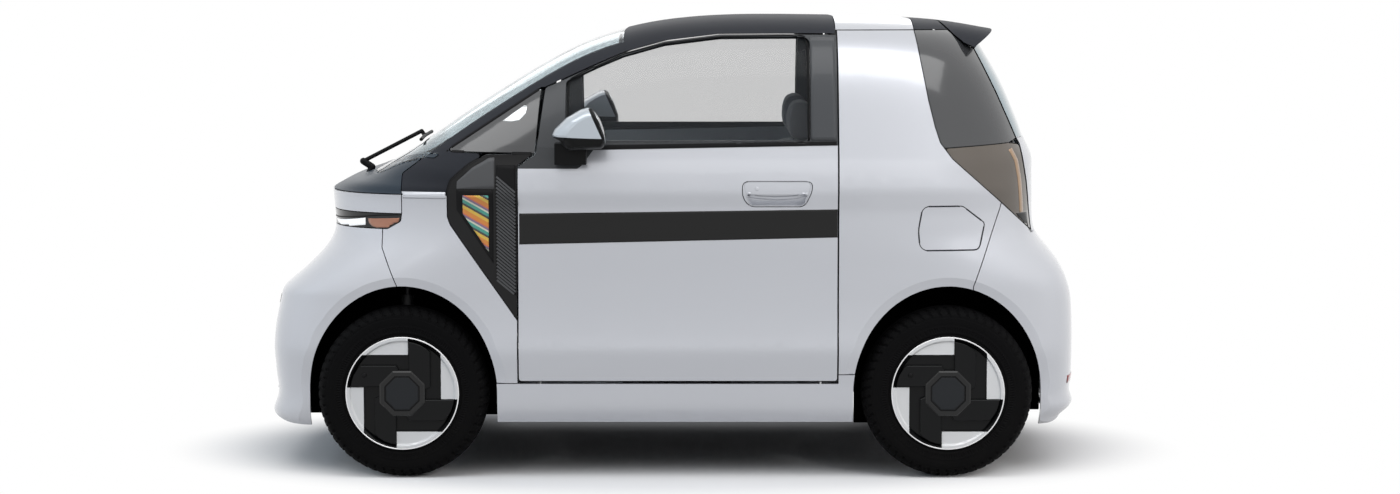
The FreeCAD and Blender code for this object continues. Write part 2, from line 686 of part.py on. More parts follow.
# Doors: glass, the lip along the rear edge, and the handle
door_glass_inset = 8.0
door_glass_lap = 7.0
door_lip = 8.0
door_lip_width = 9.0
handle_shares = [(0.0858, 0.6466, 0.010), (0.1701, 0.6466, 0.010), (0.1610, 0.5925, 0.012), (0.0940, 0.5925, 0.012)]
handle_groove = 2.2
handle_groove_depth = 3.0
handle_scoop_depth = 26.0
handle_scoop_share = 0.6190
handle_rim = 4.0


def handle_cuts():
    """The thin groove round the door handle and the scoop below its grip."""
    ring = prism(outline(handle_shares), 0, -1).cut(prism(outline(handle_shares), handle_groove, -1))
    below = box(0, half_length, -side_reach, 0, 0, handle_scoop_share * height)
    hand = prism(outline(handle_shares), handle_rim, -1).common(below)
    groove = side_wall(-overrun / 4, handle_groove_depth).common(ring)
    scoop = side_wall(-overrun / 4, handle_scoop_depth).common(hand)
    return [groove, scoop]


def door_parts():
    """The left door and its glass; the right ones are their mirror images."""
    belt = belt_share * height
    room = prism(outline(door_shares), door_gap / 2, -1)
    below = box(-half_length, half_length, -side_reach, 0, 0, belt)
    above = box(-half_length, half_length, -side_reach, 0, belt, height + overrun)
    rear_edge = door_rear_share * length
    swing = box(rear_edge - door_lip_width - door_gap / 2, rear_edge + overrun, -side_reach, 0, 0, height + overrun)
    skin = door_walls.common(room).common(below)
    skin = skin.cut(side_wall(door_lip, door_wall + seam_gap).common(swing))
    for cut in handle_cuts():
        skin = skin.cut(cut)
    frame = top_wall(0, door_frame_wall).common(room).common(above)
    frame = frame.cut(top_wall(door_lip, door_frame_wall + seam_gap).common(swing))
    lap = prism(outline(window_shares), -door_glass_lap, -1)
    rebate = top_wall(-overrun / 4, door_glass_inset + glass_wall).common(lap)
    frame = frame.cut(prism(outline(window_shares), 0, -1)).cut(rebate)
    door = solids_of(skin.fuse(frame))
    pane = top_wall(door_glass_inset, door_glass_inset + glass_wall)
    glass = solids_of(pane.common(prism(outline(window_shares), -door_glass_lap + seat_clearance, -1)))
    save("door_left", door)
    save("door_right", mirrored(door))
    save("door_glass_left", glass)
    save("door_glass_right", mirrored(glass))


# Structure under the panels
floor_top = 300.0
floor_wall = 15.0
plate_wall = 12.0
liner_shelf_z = tyre_radius + arch_rise + liner_room + liner_wall
firewall_offset = 104.0
beam_offset = 216.0
crash_offset = 376.0
riser_offset = 106.0
firewall_x = front_axle_x + firewall_offset
beam_x = front_axle_x - beam_offset
crash_x = front_axle_x - crash_offset
riser_x = front_axle_x - riser_offset
riser_half = 420.0
crash_low_z = 300.0
tray_z = 916.0
dash_top_z = 985.0
rear_wall_gap = 12.0
rear_wall_x = door_rear_share * length + rear_wall_gap
rail_y = 330.0
rail_size = 70.0
rail_z = 430.0
luggage_z = 560.0
deck_back_half = 470.0
post_front = 32.0
post_rear = 4.0
post_inner_y = 640.0
post_top_z = 1060.0
post_wing_top_z = 545.0
tunnel_half = liner_inner_y - liner_wall
under_glass = top_wall(-overrun / 4, roof_wall)
wing_room = front_wall(-overrun / 4, panel_wall + seat_clearance)


def front_structure():
    low = box(firewall_x - plate_wall, firewall_x, -tunnel_half, tunnel_half, floor_top - floor_wall, liner_shelf_z)
    high = box(firewall_x - plate_wall, firewall_x, -side_reach, side_reach, liner_shelf_z, height)
    high = cut_to(high, [wing_room, under_glass], V(firewall_x - plate_wall / 2, 0, liner_shelf_z + plate_wall))
    lid = box(firewall_x - 2 * plate_wall, firewall_x + plate_wall, -side_reach, side_reach, dash_top_z, height)
    firewall = low.fuse(high.cut(lid))
    beam = box(beam_x - plate_wall, beam_x, -side_reach, side_reach, liner_shelf_z, tray_z)
    beam = cut_to(beam, [wing_room], V(beam_x - plate_wall / 2, 0, tray_z - plate_wall))
    narrow = box(beam_x - plate_wall, beam_x, -tunnel_half, tunnel_half, crash_low_z, liner_shelf_z)
    crash = box(crash_x - rail_size / 2, crash_x, -side_reach, side_reach, rail_z, rail_z + rail_size)
    crash = cut_to(crash, [wing_room], V(crash_x - rail_size / 4, 0, rail_z + rail_size / 2))
    tray = box(beam_x - plate_wall, firewall_x - plate_wall, -side_reach, side_reach, tray_z, tray_z + plate_wall)
    tray = cut_to(tray, [wing_room], V(firewall_x - overrun, 0, tray_z + plate_wall / 2))
    riser = box(riser_x - plate_wall, riser_x, -riser_half, riser_half, tray_z + plate_wall, height)
    riser = cut_to(riser, [roof_walls], V(riser_x - plate_wall / 2, 0, tray_z + 2 * plate_wall))
    pieces = [beam, narrow, crash, tray, riser] + strut_parts()
    for y in (-rail_y, rail_y):
        pieces.append(box(crash_x, firewall_x - plate_wall, y - rail_size / 2, y + rail_size / 2, rail_z,
                          rail_z + rail_size))
    save("front_structure", firewall.fuse(pieces).removeSplitter())


def hinge_post(sill):
    """The post that the left door's hinges bear on."""
    front_x = door_front_share * length
    post = box(front_x - post_front, front_x - post_rear, -side_reach, -post_inner_y, floor_top, post_top_z)
    low_wing = wing_room.common(box(-half_length, half_length, -side_reach, 0, 0, post_wing_top_z))
    probe = V(front_x - (post_front + post_rear) / 2, -post_inner_y - plate_wall, (floor_top + post_top_z) / 2)
    return cut_to(post, [side_wall(-overrun / 4, panel_wall + seat_clearance), low_wing, sill], probe)


def floor_parts():
    """Floor pan with the luggage deck, the cabin's rear wall and the hinge posts."""
    foot_rear_x = front_axle_x + arch_half_length + liner_room + 2 * liner_wall
    wide = box(foot_rear_x, rear_wall_x, -side_reach, side_reach, floor_top - floor_wall, floor_top)
    wide = cut_to(wide, [door_walls, mirrored(door_walls)], V(0, 0, floor_top - floor_wall / 2))
    foot = box(firewall_x, foot_rear_x, -tunnel_half, tunnel_half, floor_top - floor_wall, floor_top)
    back = box(rear_wall_x, rear_wall_x + plate_wall, -deck_back_half, deck_back_half, floor_top - floor_wall,
               luggage_z)
    probe = V(rear_axle_x, 0, luggage_z + plate_wall / 2)
    deck = box(rear_wall_x, half_length, -side_reach, side_reach, luggage_z, luggage_z + plate_wall)
    deck = cut_to(deck, [rear_wall(0, panel_wall + lining_wall + seat_clearance)], probe)
    for side in (-1, 1):
        deck = deck.cut(arch(rear_axle_x, liner_room + liner_wall, side * rear_liner_inner_y, side * side_reach))
    deck = inner_part(deck, probe)
    post = hinge_post(panel(door_walls, sill_shares, gap=0.0, side=-1))
    save("floor_pan", wide.fuse([foot, back, deck, post, mirrored(post)]).removeSplitter())


# Linings of the luggage space, with the recess for the charging socket, and the roof bow
lining_wall = 12.0
lining_shares = [
    (0.2060, 0.2500, 0), (0.2060, 0.9640, 0), (0.3360, 0.9640, 0), (0.3600, 0.9340, 0.01), (0.3640, 0.9283, 0.01),
    (0.3904, 0.8333, 0.05), (0.4142, 0.7327, 0.02), (0.4266, 0.6392, 0.05), (0.4348, 0.5200, 0),
    (0.4348, 0.3600, 0), (0.3662, 0.3600, 0), (0.3662, 0.2500, 0),
]
lining_window_shares = [
    (0.3190, 0.9400, 0.01), (0.3270, 0.8167, 0.03), (0.3420, 0.7500, 0.01), (0.4030, 0.7500, 0.01),
    (0.3750, 0.8800, 0.03), (0.3560, 0.9200, 0.01),
]
ceiling_shares = [
    (-0.0600, 0.9720, 0), (-0.0600, 1.0500, 0), (0.3250, 1.0500, 0), (0.3250, 0.9500, 0), (0.2060, 0.9500, 0),
    (0.2060, 0.9720, 0),
]
socket_room_shares = [(0.3060, 0.5800, 0), (0.3500, 0.5800, 0), (0.3700, 0.5520, 0), (0.3640, 0.5080, 0),
                      (0.3040, 0.5080, 0)]
socket_cup_shares = [(0.3040, 0.5840, 0.01), (0.3540, 0.5840, 0.01), (0.3740, 0.5540, 0.01),
                     (0.3680, 0.5040, 0.01), (0.3020, 0.5040, 0.01)]
recess_floor_y = 592.0
recess_x_share = 0.335
recess_z_share = 0.545
recess_wall = 8.0
bow_gap = 20.0
bow_width = 30.0
bow_depth = 40.0
bow_z = 1452.0
bow_lap = 1.0


def linings():
    tail = rear_wall(panel_wall, panel_wall + lining_wall)
    window = prism(outline(lining_window_shares), 0, -1)
    side = panel(tail, lining_shares, gap=0.0, side=-1, holes=[arches, window])
    socket_room = prism(outline(socket_room_shares), 0, -1)
    block = box(0, half_length, -side_reach, -recess_floor_y, 0, height)
    hollow = box(0, half_length, -side_reach, -recess_floor_y - recess_wall, 0, height)
    cup = prism(outline(socket_cup_shares), 0, -1).common(block).cut(socket_room.common(hollow))
    probe = V(recess_x_share * length, -recess_floor_y - recess_wall / 2, recess_z_share * height)
    cup = inner_part(cup.cut(rear_wall(-overrun, panel_wall + lining_wall)), probe)
    ceiling = panel(top_wall(roof_wall, roof_wall + lining_wall), ceiling_shares, gap=0.0)
    bow_x = door_rear_share * length + bow_gap
    bow = box(bow_x, bow_x + bow_width, -side_reach, side_reach, bow_z - bow_depth, height)
    bow = cut_to(bow, [rear_wall(0, panel_wall + lining_wall + seat_clearance),
                       top_wall(-overrun / 4, roof_wall + lining_wall - bow_lap)],
                 V(bow_x + bow_width / 2, 0, bow_z))
    pieces = [side.cut(socket_room), cup, mirrored(side), ceiling.fuse(bow)]
    save("linings", Part.makeCompound([s for piece in pieces for s in piece.Solids]))


front_liner_foot_z = 322.0
rear_liner_foot_z = 352.0
strut_room = 46.0
liner_probe = 60.0
strut_foot_z = 400.0


def liners():
    """Shells over the wheels, open towards the road."""
    shells = []
    tail_room = rear_wall(0, panel_wall + lining_wall + seat_clearance)
    for axle_x, inner_y, foot_z, walls in ((front_axle_x, liner_inner_y, front_liner_foot_z, wing_walls),
                                           (rear_axle_x, rear_liner_inner_y, rear_liner_foot_z, tail_room)):
        outside = arch(axle_x, liner_room + liner_wall, -side_reach, -inner_y)
        inside = arch(axle_x, liner_room, -side_reach, -inner_y - liner_wall)
        shell = outside.cut(inside)
        shell = shell.cut(box(axle_x - half_length, axle_x + half_length, -side_reach, 0, -2 * overrun, foot_z))
        shell = shell.cut(walls).cut(flank_walls)
        crown_z = tyre_radius + arch_rise + liner_room + liner_wall / 2
        shells.append(inner_part(shell, V(axle_x, -inner_y - liner_probe, crown_z)))
    front, rear = shells
    tower = Part.makeCylinder(strut_room, height, V(front_axle_x, -strut_top_y, strut_foot_z))
    save("wheel_liners", Part.makeCompound([pair(front.cut(tower)), pair(rear)]))


# Steering and suspension. The kingpin leans inwards, so the strut passes inside the tyre.
half_track = track / 2
lower_joint_inset = 58.0
lower_joint_y = half_track - lower_joint_inset
lower_joint_z = 168.0
strut_top_inset = 155.0
strut_top_y = half_track - strut_top_inset
strut_top_z = 680.0
strut_tube_radius = 21.0
strut_tube_z = (430.3, 590.0)
strut_stem_radius = 9.0
strut_stem_lap = 30.0
strut_seat_radius = 52.0
strut_seat_wall = 6.0
strut_hole = 20.0
leg_wall = 12.0


def kingpin_point(z, side=-1):
    share = (z - lower_joint_z) / (strut_top_z - lower_joint_z)
    return V(front_axle_x, side * (lower_joint_y + (strut_top_y - lower_joint_y) * share), z)


def strut_parts():
    """Shelves over the front wheels, the legs under them and the struts that they hold."""
    rear_x = firewall_x - plate_wall
    shelf = box(beam_x, rear_x, -half_width, -rail_y, liner_shelf_z, liner_shelf_z + plate_wall)
    shelf = cut_to(shelf, [wing_room], V(front_axle_x, -rail_y - plate_wall, liner_shelf_z + plate_wall / 2))
    hole = Part.makeCylinder(strut_hole, rail_size, V(front_axle_x, -strut_top_y, liner_shelf_z - rail_size / 2))
    leg = box(beam_x, rear_x, -rail_y - leg_wall, -rail_y, rail_z + rail_size, liner_shelf_z)
    tube_foot, tube_head = strut_tube_z
    tube = rod(kingpin_point(tube_foot), kingpin_point(tube_head), strut_tube_radius)
    stem = rod(kingpin_point(tube_head - strut_stem_lap), kingpin_point(liner_shelf_z + strut_stem_lap),
               strut_stem_radius)
    seat_z = liner_shelf_z + plate_wall
    stem = stem.common(box(beam_x, firewall_x, -half_width, 0, 0, seat_z + strut_seat_wall / 2))
    seat = Part.makeCylinder(strut_seat_radius, strut_seat_wall, V(front_axle_x, -strut_top_y, seat_z))
    left = [shelf.cut(hole), leg, tube, stem, seat]
    return left + [mirrored(p) for p in left]


spindle_radius = 14.0
spindle_reach = 12.0
hub_inset = 42.0
hub_inner_y = half_track - hub_inset
hub_radius = 34.0
hub_start = 12.0
contact = 1.0
arm_length = 110.0
arm_start = 4.0
arm_half = 11.0
arm_half_height = 8.0
arm_boss_radius = 14.0
arm_boss_half = 10.0
rack_x = front_axle_x + arm_length
rack_z = 262.0
arm_drop = 30.0
upright_radius = 19.0
upright_foot_gap = 4.2
upright_top_z = 430.0


def knuckles():
    """Each front wheel's carrier: upright, hub, spindle and steering arm."""
    middle = kingpin_point(tyre_radius)
    upright = rod(kingpin_point(lower_joint_z + upright_foot_gap), kingpin_point(upright_top_z), upright_radius)
    hub = rod(V(front_axle_x, middle.y + hub_start, tyre_radius),
              V(front_axle_x, -hub_inner_y + contact, tyre_radius), hub_radius)
    spindle = rod(V(front_axle_x, middle.y, tyre_radius), V(front_axle_x, -half_track - spindle_reach, tyre_radius),
                  spindle_radius)
    eye = V(rack_x, middle.y, rack_z - arm_drop)
    lever = box(front_axle_x + arm_start, rack_x, middle.y - arm_half, middle.y + arm_half,
                eye.z - arm_half_height, eye.z + arm_half_height)
    boss = Part.makeCylinder(arm_boss_radius, 2 * arm_boss_half, eye - V(0, 0, arm_boss_half))
    knuckle = upright.fuse(hub).fuse(spindle).fuse(lever).fuse(boss)
    save("knuckle_left", knuckle)
    save("knuckle_right", mirrored(knuckle))


subframe_z = (150.0, 200.0)
subframe_half = 60.0
subframe_cross_half = 300.0
subframe_leg_half = 35.0
subframe_bar_y = (295.0, 370.0)
arm_root_y = 340.0
arm_root_half = 55.0
arm_tip_half = 22.0
arm_tip_length = 60.0
arm_wall = 18.0
housing_half = 260.0
housing_radius = 18.0
rack_radius = 10.0
rack_fit = 0.3
rack_half = 520.0
mount_half = 14.0
mount_y = 200.0
mount_wide = 20.0
mount_foot_z = 195.0
mount_plate_z = 188.0
mount_plate_front = 50.0
tie_rod_radius = 8.0
tie_rod_start = 500.0
tie_eye_radius = 13.0
tie_eye_half = 8.0


def front_subframe():
    low, high = subframe_z
    front, rear = front_axle_x - subframe_half, front_axle_x + subframe_half
    pieces = [box(front_axle_x + mount_plate_front, rack_x + mount_half, -mount_y - mount_wide, mount_y + mount_wide,
                  mount_plate_z, high)]
    for side in (-1, 1):
        pieces.append(box(front, rear, side * rail_y - subframe_leg_half, side * rail_y + subframe_leg_half, low,
                          rail_z))
        root, tip = V(0, side * arm_root_y, low), V(0, side * lower_joint_y, low)
        neck = V(0, side * (lower_joint_y - arm_tip_length), low)
        corners = [root + V(front_axle_x - arm_root_half, 0, 0), neck + V(front_axle_x - arm_tip_half, 0, 0),
                   tip + V(front_axle_x - arm_tip_half, 0, 0), tip + V(front_axle_x + arm_tip_half, 0, 0),
                   neck + V(front_axle_x + arm_tip_half, 0, 0), root + V(front_axle_x + arm_root_half, 0, 0)]
        pieces.append(Part.Face(Part.makePolygon(corners + [corners[0]])).extrude(V(0, 0, arm_wall)))
        ends = sorted(side * y for y in subframe_bar_y)
        pieces.append(box(front, rear, ends[0], ends[1], low, high))
        pieces.append(box(rack_x - mount_half, rack_x + mount_half, side * mount_y - mount_wide,
                          side * mount_y + mount_wide, mount_foot_z, rack_z - rack_radius))
    pieces.append(rod(V(rack_x, -housing_half, rack_z), V(rack_x, housing_half, rack_z), housing_radius))
    bore = rod(V(rack_x, -rack_half, rack_z), V(rack_x, rack_half, rack_z), rack_radius + rack_fit)
    cross = box(front, rear, -subframe_cross_half, subframe_cross_half, low, high)
    save("front_subframe", cross.fuse(pieces).cut(bore).removeSplitter())


def steering_rack():
    bar = rod(V(rack_x, -rack_half, rack_z), V(rack_x, rack_half, rack_z), rack_radius)
    ends = []
    for side in (-1, 1):
        eye_y = side * -kingpin_point(tyre_radius).y
        ends.append(rod(V(rack_x, side * tie_rod_start, rack_z), V(rack_x, eye_y, rack_z), tie_rod_radius))
        ends.append(Part.makeCylinder(tie_eye_radius, 2 * tie_eye_half, V(rack_x, eye_y, rack_z - tie_eye_half)))
    save("steering_rack", bar.fuse(ends).removeSplitter())


beam_radius = 42.0
beam_half = 520.0
stub_radius = 38.0
stub_lap = 5.0
rear_spindle_start = 560.0
trail_y = 430.0
trail_half = 25.0
trail_half_height = 30.0
spring_y = 350.0
spring_radius = 46.0


def rear_axle():
    """Twist beam with its trailing arms, hubs and springs."""
    pieces = []
    for side in (-1, 1):
        pieces.append(rod(V(rear_axle_x, side * (beam_half - stub_lap), tyre_radius),
                          V(rear_axle_x, side * (hub_inner_y - contact), tyre_radius), stub_radius))
        pieces.append(rod(V(rear_axle_x, side * rear_spindle_start, tyre_radius),
                          V(rear_axle_x, side * (half_track + spindle_reach), tyre_radius), spindle_radius))
        pieces.append(box(rear_wall_x + plate_wall, rear_axle_x, side * trail_y - trail_half,
                          side * trail_y + trail_half, tyre_radius - trail_half_height,
                          tyre_radius + trail_half_height))
        pieces.append(Part.makeCylinder(spring_radius, luggage_z - tyre_radius,
                                        V(rear_axle_x, side * spring_y, tyre_radius)))
    beam = rod(V(rear_axle_x, -beam_half, tyre_radius), V(rear_axle_x, beam_half, tyre_radius), beam_radius)
    save("rear_axle", beam.fuse(pieces).removeSplitter())


motor_front = 190.0
motor_rear = 130.0
motor_half = 190.0
motor_low = 75.0
motor_high = 150.0
battery_front_x = -480.0
battery_rear_x = 430.0
battery_half = 470.0
battery_depth = 110.0


def heavy_blocks():
    """The motor on the rear beam and the battery under the floor, one plain block each."""
    motor = box(rear_axle_x - motor_front, rear_axle_x + motor_rear, -motor_half, motor_half,
                tyre_radius - motor_low, tyre_radius + motor_high)
    beam = rod(V(rear_axle_x, -beam_half, tyre_radius), V(rear_axle_x, beam_half, tyre_radius), beam_radius)
    save("drive_unit", motor.cut(beam))
    under = floor_top - floor_wall
    save("battery_pack", box(battery_front_x, battery_rear_x, -battery_half, battery_half, under - battery_depth,
                             under))


# Wheels. The spokes' and plates' outlines are shares of the rim's radius, turned by quarters.
rim_bore = 14.3
tyre_bead = 178.0
tyre_bead_inset = 8.0
tyre_profile_shares = [
    # (radius share of the tyre, half width share)
    (0.7088, 1.000), (0.9018, 0.988), (0.9509, 0.900), (0.9860, 0.685), (0.9980, 0.330),
    (1.0000, 0.000),
]
rim_lip = 8.0
rim_lip_out = 2.0
rim_step = 14.0
rim_step_in = 4.0
rim_wall = 10.0
rim_well = 20.0
disc_inset = 14.0
disc_wall = 14.0
disc_edge = 8.0
wheel_hub_radius = 45.0
spoke_lift = 3.0
spoke_bevel = 2.0
cap_lift = 5.5
cap_step = 3.0
plate_drop = 3.5
plate_radius = 176.0
spoke_shares = [
    (0.115, 0.000), (0.115, 0.905), (0.210, 0.885), (0.316, 0.850), (0.421, 0.784), (0.484, 0.721),
    (0.484, 0.105), (0.263, 0.000),
]
plate_corner_shares = (0.105, 0.674)
cap_share = 0.432
cap_top_share = 0.345
cap_sides = 8


def wheel_prism(points, back_y, front_y, bevel):
    """A raised piece of the wheel's face between two depths, its front edges bevelled."""
    face = Part.Face(Part.makePolygon([V(x, back_y, z) for x, z in points + [points[0]]]))
    piece = face.extrude(V(0, front_y - back_y, 0))
    edges = [e for e in piece.Edges if all(abs(v.Y - front_y) < seat_clearance for v in e.Vertexes)]
    return piece.makeChamfer(bevel, edges) if bevel else piece


def eight_sided(radius):
    turn = math.pi / cap_sides
    return [(radius * math.cos(turn * (2 * i + 1)), radius * math.sin(turn * (2 * i + 1))) for i in range(cap_sides)]


def wheel_parts():
    """One tyre and one wheel about their own hub at the origin, with the outer face towards -Y."""
    half = tyre_width / 2
    ring = [V(tyre_bead, -half + tyre_bead_inset, 0)]
    ring += [V(r * tyre_radius, -w * half, 0) for r, w in tyre_profile_shares]
    ring += [V(r * tyre_radius, w * half, 0) for r, w in reversed(tyre_profile_shares[:-1])]
    ring.append(V(tyre_bead, half - tyre_bead_inset, 0))
    tyre = Part.Face(Part.makePolygon(ring + [ring[0]])).revolve(V(0, 0, 0), V(0, 1, 0), 360)
    rim = [V(tyre_bead, -half + tyre_bead_inset, 0), V(rim_radius - rim_lip, -half - rim_lip_out, 0),
           V(rim_radius - rim_step, -half + rim_step_in, 0), V(tyre_bead - rim_wall, -half + rim_well, 0),
           V(tyre_bead - rim_wall, half - tyre_bead_inset, 0), V(tyre_bead, half - tyre_bead_inset, 0)]
    barrel = Part.Face(Part.makePolygon(rim + [rim[0]])).revolve(V(0, 0, 0), V(0, 1, 0), 360)
    disc_y = -half + disc_inset
    disc = Part.makeCylinder(tyre_bead - disc_edge, disc_wall, V(0, disc_y, 0), V(0, 1, 0))
    hub_length = half - disc_inset + half_track - hub_inner_y
    pieces = [disc, Part.makeCylinder(wheel_hub_radius, hub_length, V(0, disc_y, 0), V(0, 1, 0))]
    inner, outer = [s * rim_radius for s in plate_corner_shares]
    round_plate = Part.makeCylinder(plate_radius, disc_inset - plate_drop, V(0, -half + plate_drop, 0), V(0, 1, 0))
    plate = round_plate.common(box(-rim_radius, inner, -half, half, outer, rim_radius))
    spoke = wheel_prism([(x * rim_radius, z * rim_radius) for x, z in spoke_shares], disc_y, -half - spoke_lift,
                        spoke_bevel)
    for quarter in range(4):
        for piece in (spoke, plate):
            copy = piece.copy()
            copy.rotate(V(0, 0, 0), V(0, 1, 0), 90 * quarter)
            pieces.append(copy)
    cap_y = -half - spoke_lift
    pieces.append(wheel_prism(eight_sided(cap_share * rim_radius), disc_y, cap_y - contact, spoke_bevel))
    pieces.append(wheel_prism(eight_sided(cap_top_share * rim_radius), disc_y, -half - cap_lift, spoke_bevel))
    bore = Part.makeCylinder(rim_bore, 2 * half, V(0, -spindle_reach - contact, 0), V(0, 1, 0))
    wheel = barrel.fuse(pieces).removeSplitter().cut(bore)
    return tyre, wheel


def wheels():
    tyre, wheel = wheel_parts()
    for end, x in (("front", front_axle_x), ("rear", rear_axle_x)):
        for side, y in (("left", -half_track), ("right", half_track)):
            for name, shape in (("tyre", tyre), ("wheel", wheel)):
                copy = shape.copy() if side == "left" else mirrored(shape)
                copy.translate(V(x, y, tyre_radius))
                save(name + "_" + end + "_" + side, copy)


# Cabin
driver_y = -300.0
seat_half = 235.0
seat_base_half = 150.0
seat_base_shares = (-0.0600, 0.1000)
seat_base_top_share = 0.2780
head_half = 120.0
seat_shares = [
    (-0.0769, 0.2760, 0.020), (-0.0790, 0.3380, 0.024), (-0.0600, 0.3560, 0.020), (0.0430, 0.3480, 0.050),
    (0.0790, 0.3720, 0.040), (0.1400, 0.7080, 0.020), (0.1720, 0.7180, 0.020), (0.1790, 0.6900, 0.020),
    (0.1220, 0.3160, 0.050), (0.1040, 0.2760, 0.020),
]
head_shares = [
    (0.1440, 0.7100, 0.004), (0.1430, 0.8020, 0.020), (0.1560, 0.8160, 0.012), (0.1760, 0.8060, 0.020),
    (0.1770, 0.7100, 0.004),
]
dash_shares = [
    (-0.2894, 0.4180), (-0.2051, 0.4439), (-0.1832, 0.4961), (-0.1795, 0.5744), (-0.2051, 0.6266),
]
dash_post_top_z = 1060.0
dash_side_x = (-560.0, -400.0)
dash_side_y = 620.0
lining_gap = 4.0
column_foot = V(-650.0, driver_y, 745.0)
column_head = V(-395.0, driver_y, 895.0)
column_radius = 32.0
column_lap = 10.0
column_short = 60.0
column_end = 1000.0
shaft_radius = 12.0
shaft_fit = 0.3
shaft_gap = 4.0
wheel_ring_radius = 170.0
wheel_ring_tube = 14.0
wheel_ring_rise = 18.0
wheel_boss_radius = 45.0
wheel_boss_depth = 40.0
wheel_arm_radius = 10.0
wheel_arm_rise = 8.0
wheel_arm_reach = 165.0


def across(shares, y, half):
    """An outline in the side view, run across the car about some width."""
    points = [V(x * length, 0, z * height) for x, z, r in shares]
    face = Part.Face(rounded_wire(points, [r * height for x, z, r in shares], y - half))
    return face.extrude(V(0, 2 * half, 0))


def seats():
    pair_of_seats = []
    front, rear = [s * length for s in seat_base_shares]
    for y in (driver_y, -driver_y):
        base = box(front, rear, y - seat_base_half, y + seat_base_half, floor_top, seat_base_top_share * height)
        seat = across(seat_shares, y, seat_half)
        head = across(head_shares, y, head_half)
        pair_of_seats.append(base.fuse([seat, head]).removeSplitter())
    save("seats", Part.makeCompound(pair_of_seats))


def dashboard():
    profile = [V(x * length, 0, z * height) for x, z in dash_shares]
    profile[0].x = firewall_x
    profile.append(V(firewall_x, 0, dash_top_z))
    dash = Part.Face(Part.makePolygon(profile + [profile[0]]))
    dash.translate(V(0, -side_reach, 0))
    dash = dash.extrude(V(0, 2 * side_reach, 0))
    front_x = door_front_share * length
    posts = box(front_x - post_front, front_x - post_rear, -side_reach, -post_inner_y, floor_top, dash_post_top_z)
    side_room = box(dash_side_x[0], dash_side_x[1], -side_reach, -dash_side_y, 0, height)
    rooms = arch(front_axle_x, liner_room + liner_wall + seam_gap, -side_reach, -liner_inner_y + seam_gap)
    flank = side_wall(-overrun / 4, panel_wall + lining_gap)
    cuts = [rooms, flank, posts, side_room]
    cuts += [mirrored(c) for c in cuts] + [wing_room, under_glass]
    dash = cut_to(dash, cuts, V(column_foot.x, 0, (column_foot.z + column_head.z) / 2))
    line = (column_head - column_foot).normalize()
    tube = rod(column_foot - line * column_lap, column_head - line * column_short, column_radius)
    sleeve = tube.cut(rod(column_foot, column_head, shaft_radius + shaft_fit))
    room = rod(column_foot - line * column_lap, column_foot + line * column_end, column_radius)
    save("dashboard", solids_of(dash.cut(room).fuse(sleeve).removeSplitter()))


def steering_wheel():
    line = (column_head - column_foot).normalize()
    down = line.cross(V(0, 1, 0))
    down = down if down.z < 0 else down * -1
    shaft = rod(column_foot + line * shaft_gap, column_head, shaft_radius)
    ring = Part.makeTorus(wheel_ring_radius, wheel_ring_tube, column_head + line * wheel_ring_rise, line)
    boss = rod(column_head - line * wheel_boss_depth, column_head + line * wheel_ring_rise, wheel_boss_radius)
    arms = [rod(column_head + line * wheel_arm_rise, column_head + line * wheel_ring_rise + d * wheel_arm_reach,
                wheel_arm_radius) for d in (V(0, 1, 0), V(0, -1, 0), down)]
    save("steering_wheel", ring.fuse([boss, shaft] + arms).removeSplitter())


# Door mirrors: the housing's outline, and its sections outwards as (reach share, scale)
mirror_shares = [
    (-0.1432, 0.7467, 0.006), (-0.1390, 0.7625, 0.020), (-0.1255, 0.7861, 0.030), (-0.1072, 0.8044, 0.030),
    (-0.0960, 0.8095, 0.014), (-0.0860, 0.7810, 0.030), (-0.0790, 0.7460, 0.010), (-0.0790, 0.7210, 0.012),
    (-0.1255, 0.7160, 0.020), (-0.1330, 0.7380, 0.006),
]
mirror_sections = [(0.00, 0.80), (0.22, 0.95), (0.50, 1.00), (0.78, 0.96), (0.93, 0.84), (1.00, 0.66)]
mirror_inner_y = 738.0
mirror_reach = 162.0
mirror_middle = (-0.0850, 0.7560)
mirror_foot_shares = (-0.1400, -0.1020, 0.6850, 0.7190, 0.7300)
mirror_foot_y = (660.0, 715.0, 800.0)


def mirrors():
    wires = []
    for reach, scale in mirror_sections:
        points = []
        for x, z, r in mirror_shares:
            points.append(V((mirror_middle[0] + (x - mirror_middle[0]) * scale) * length, 0,
                            (mirror_middle[1] + (z - mirror_middle[1]) * scale) * height))
        radii = [r * height * scale for x, z, r in mirror_shares]
        wires.append(rounded_wire(points, radii, -mirror_inner_y - mirror_reach * reach))
    pod = Part.makeLoft(wires, True, False)
    x0, x1, z0, z1, z2 = mirror_foot_shares
    low = box(x0 * length, x1 * length, -mirror_foot_y[2], -mirror_foot_y[0], z0 * height, z1 * height)
    high = box(x0 * length, x1 * length, -mirror_foot_y[2], -mirror_foot_y[1], z1 * height, z2 * height)
    foot = low.fuse(high).cut(door_walls)
    foot = inner_part(foot, V((x0 + x1) / 2 * length, -(mirror_foot_y[1] + mirror_foot_y[2]) / 2,
                              (z1 + z2) / 2 * height))
    mirror = solids_of(pod.fuse(foot).removeSplitter())
    save("mirror_left", mirror)
    save("mirror_right", mirrored(mirror))


# Wiper: its post on the cowl, the arm and the blade across the glass
wiper_y = (-430.0, -170.0, 120.0)
wiper_post_shares = [(-0.3890, 0.6320), (-0.3830, 0.6560)]
wiper_knee_share = (-0.3940, 0.6690)
wiper_tip_share = (-0.3200, 0.7370)
wiper_blade_share = (-0.3160, 0.7270)
wiper_end_shift = 12.0
wiper_post_radius = 12.0
wiper_arm_radius = 7.0
wiper_blade_radius = 6.0


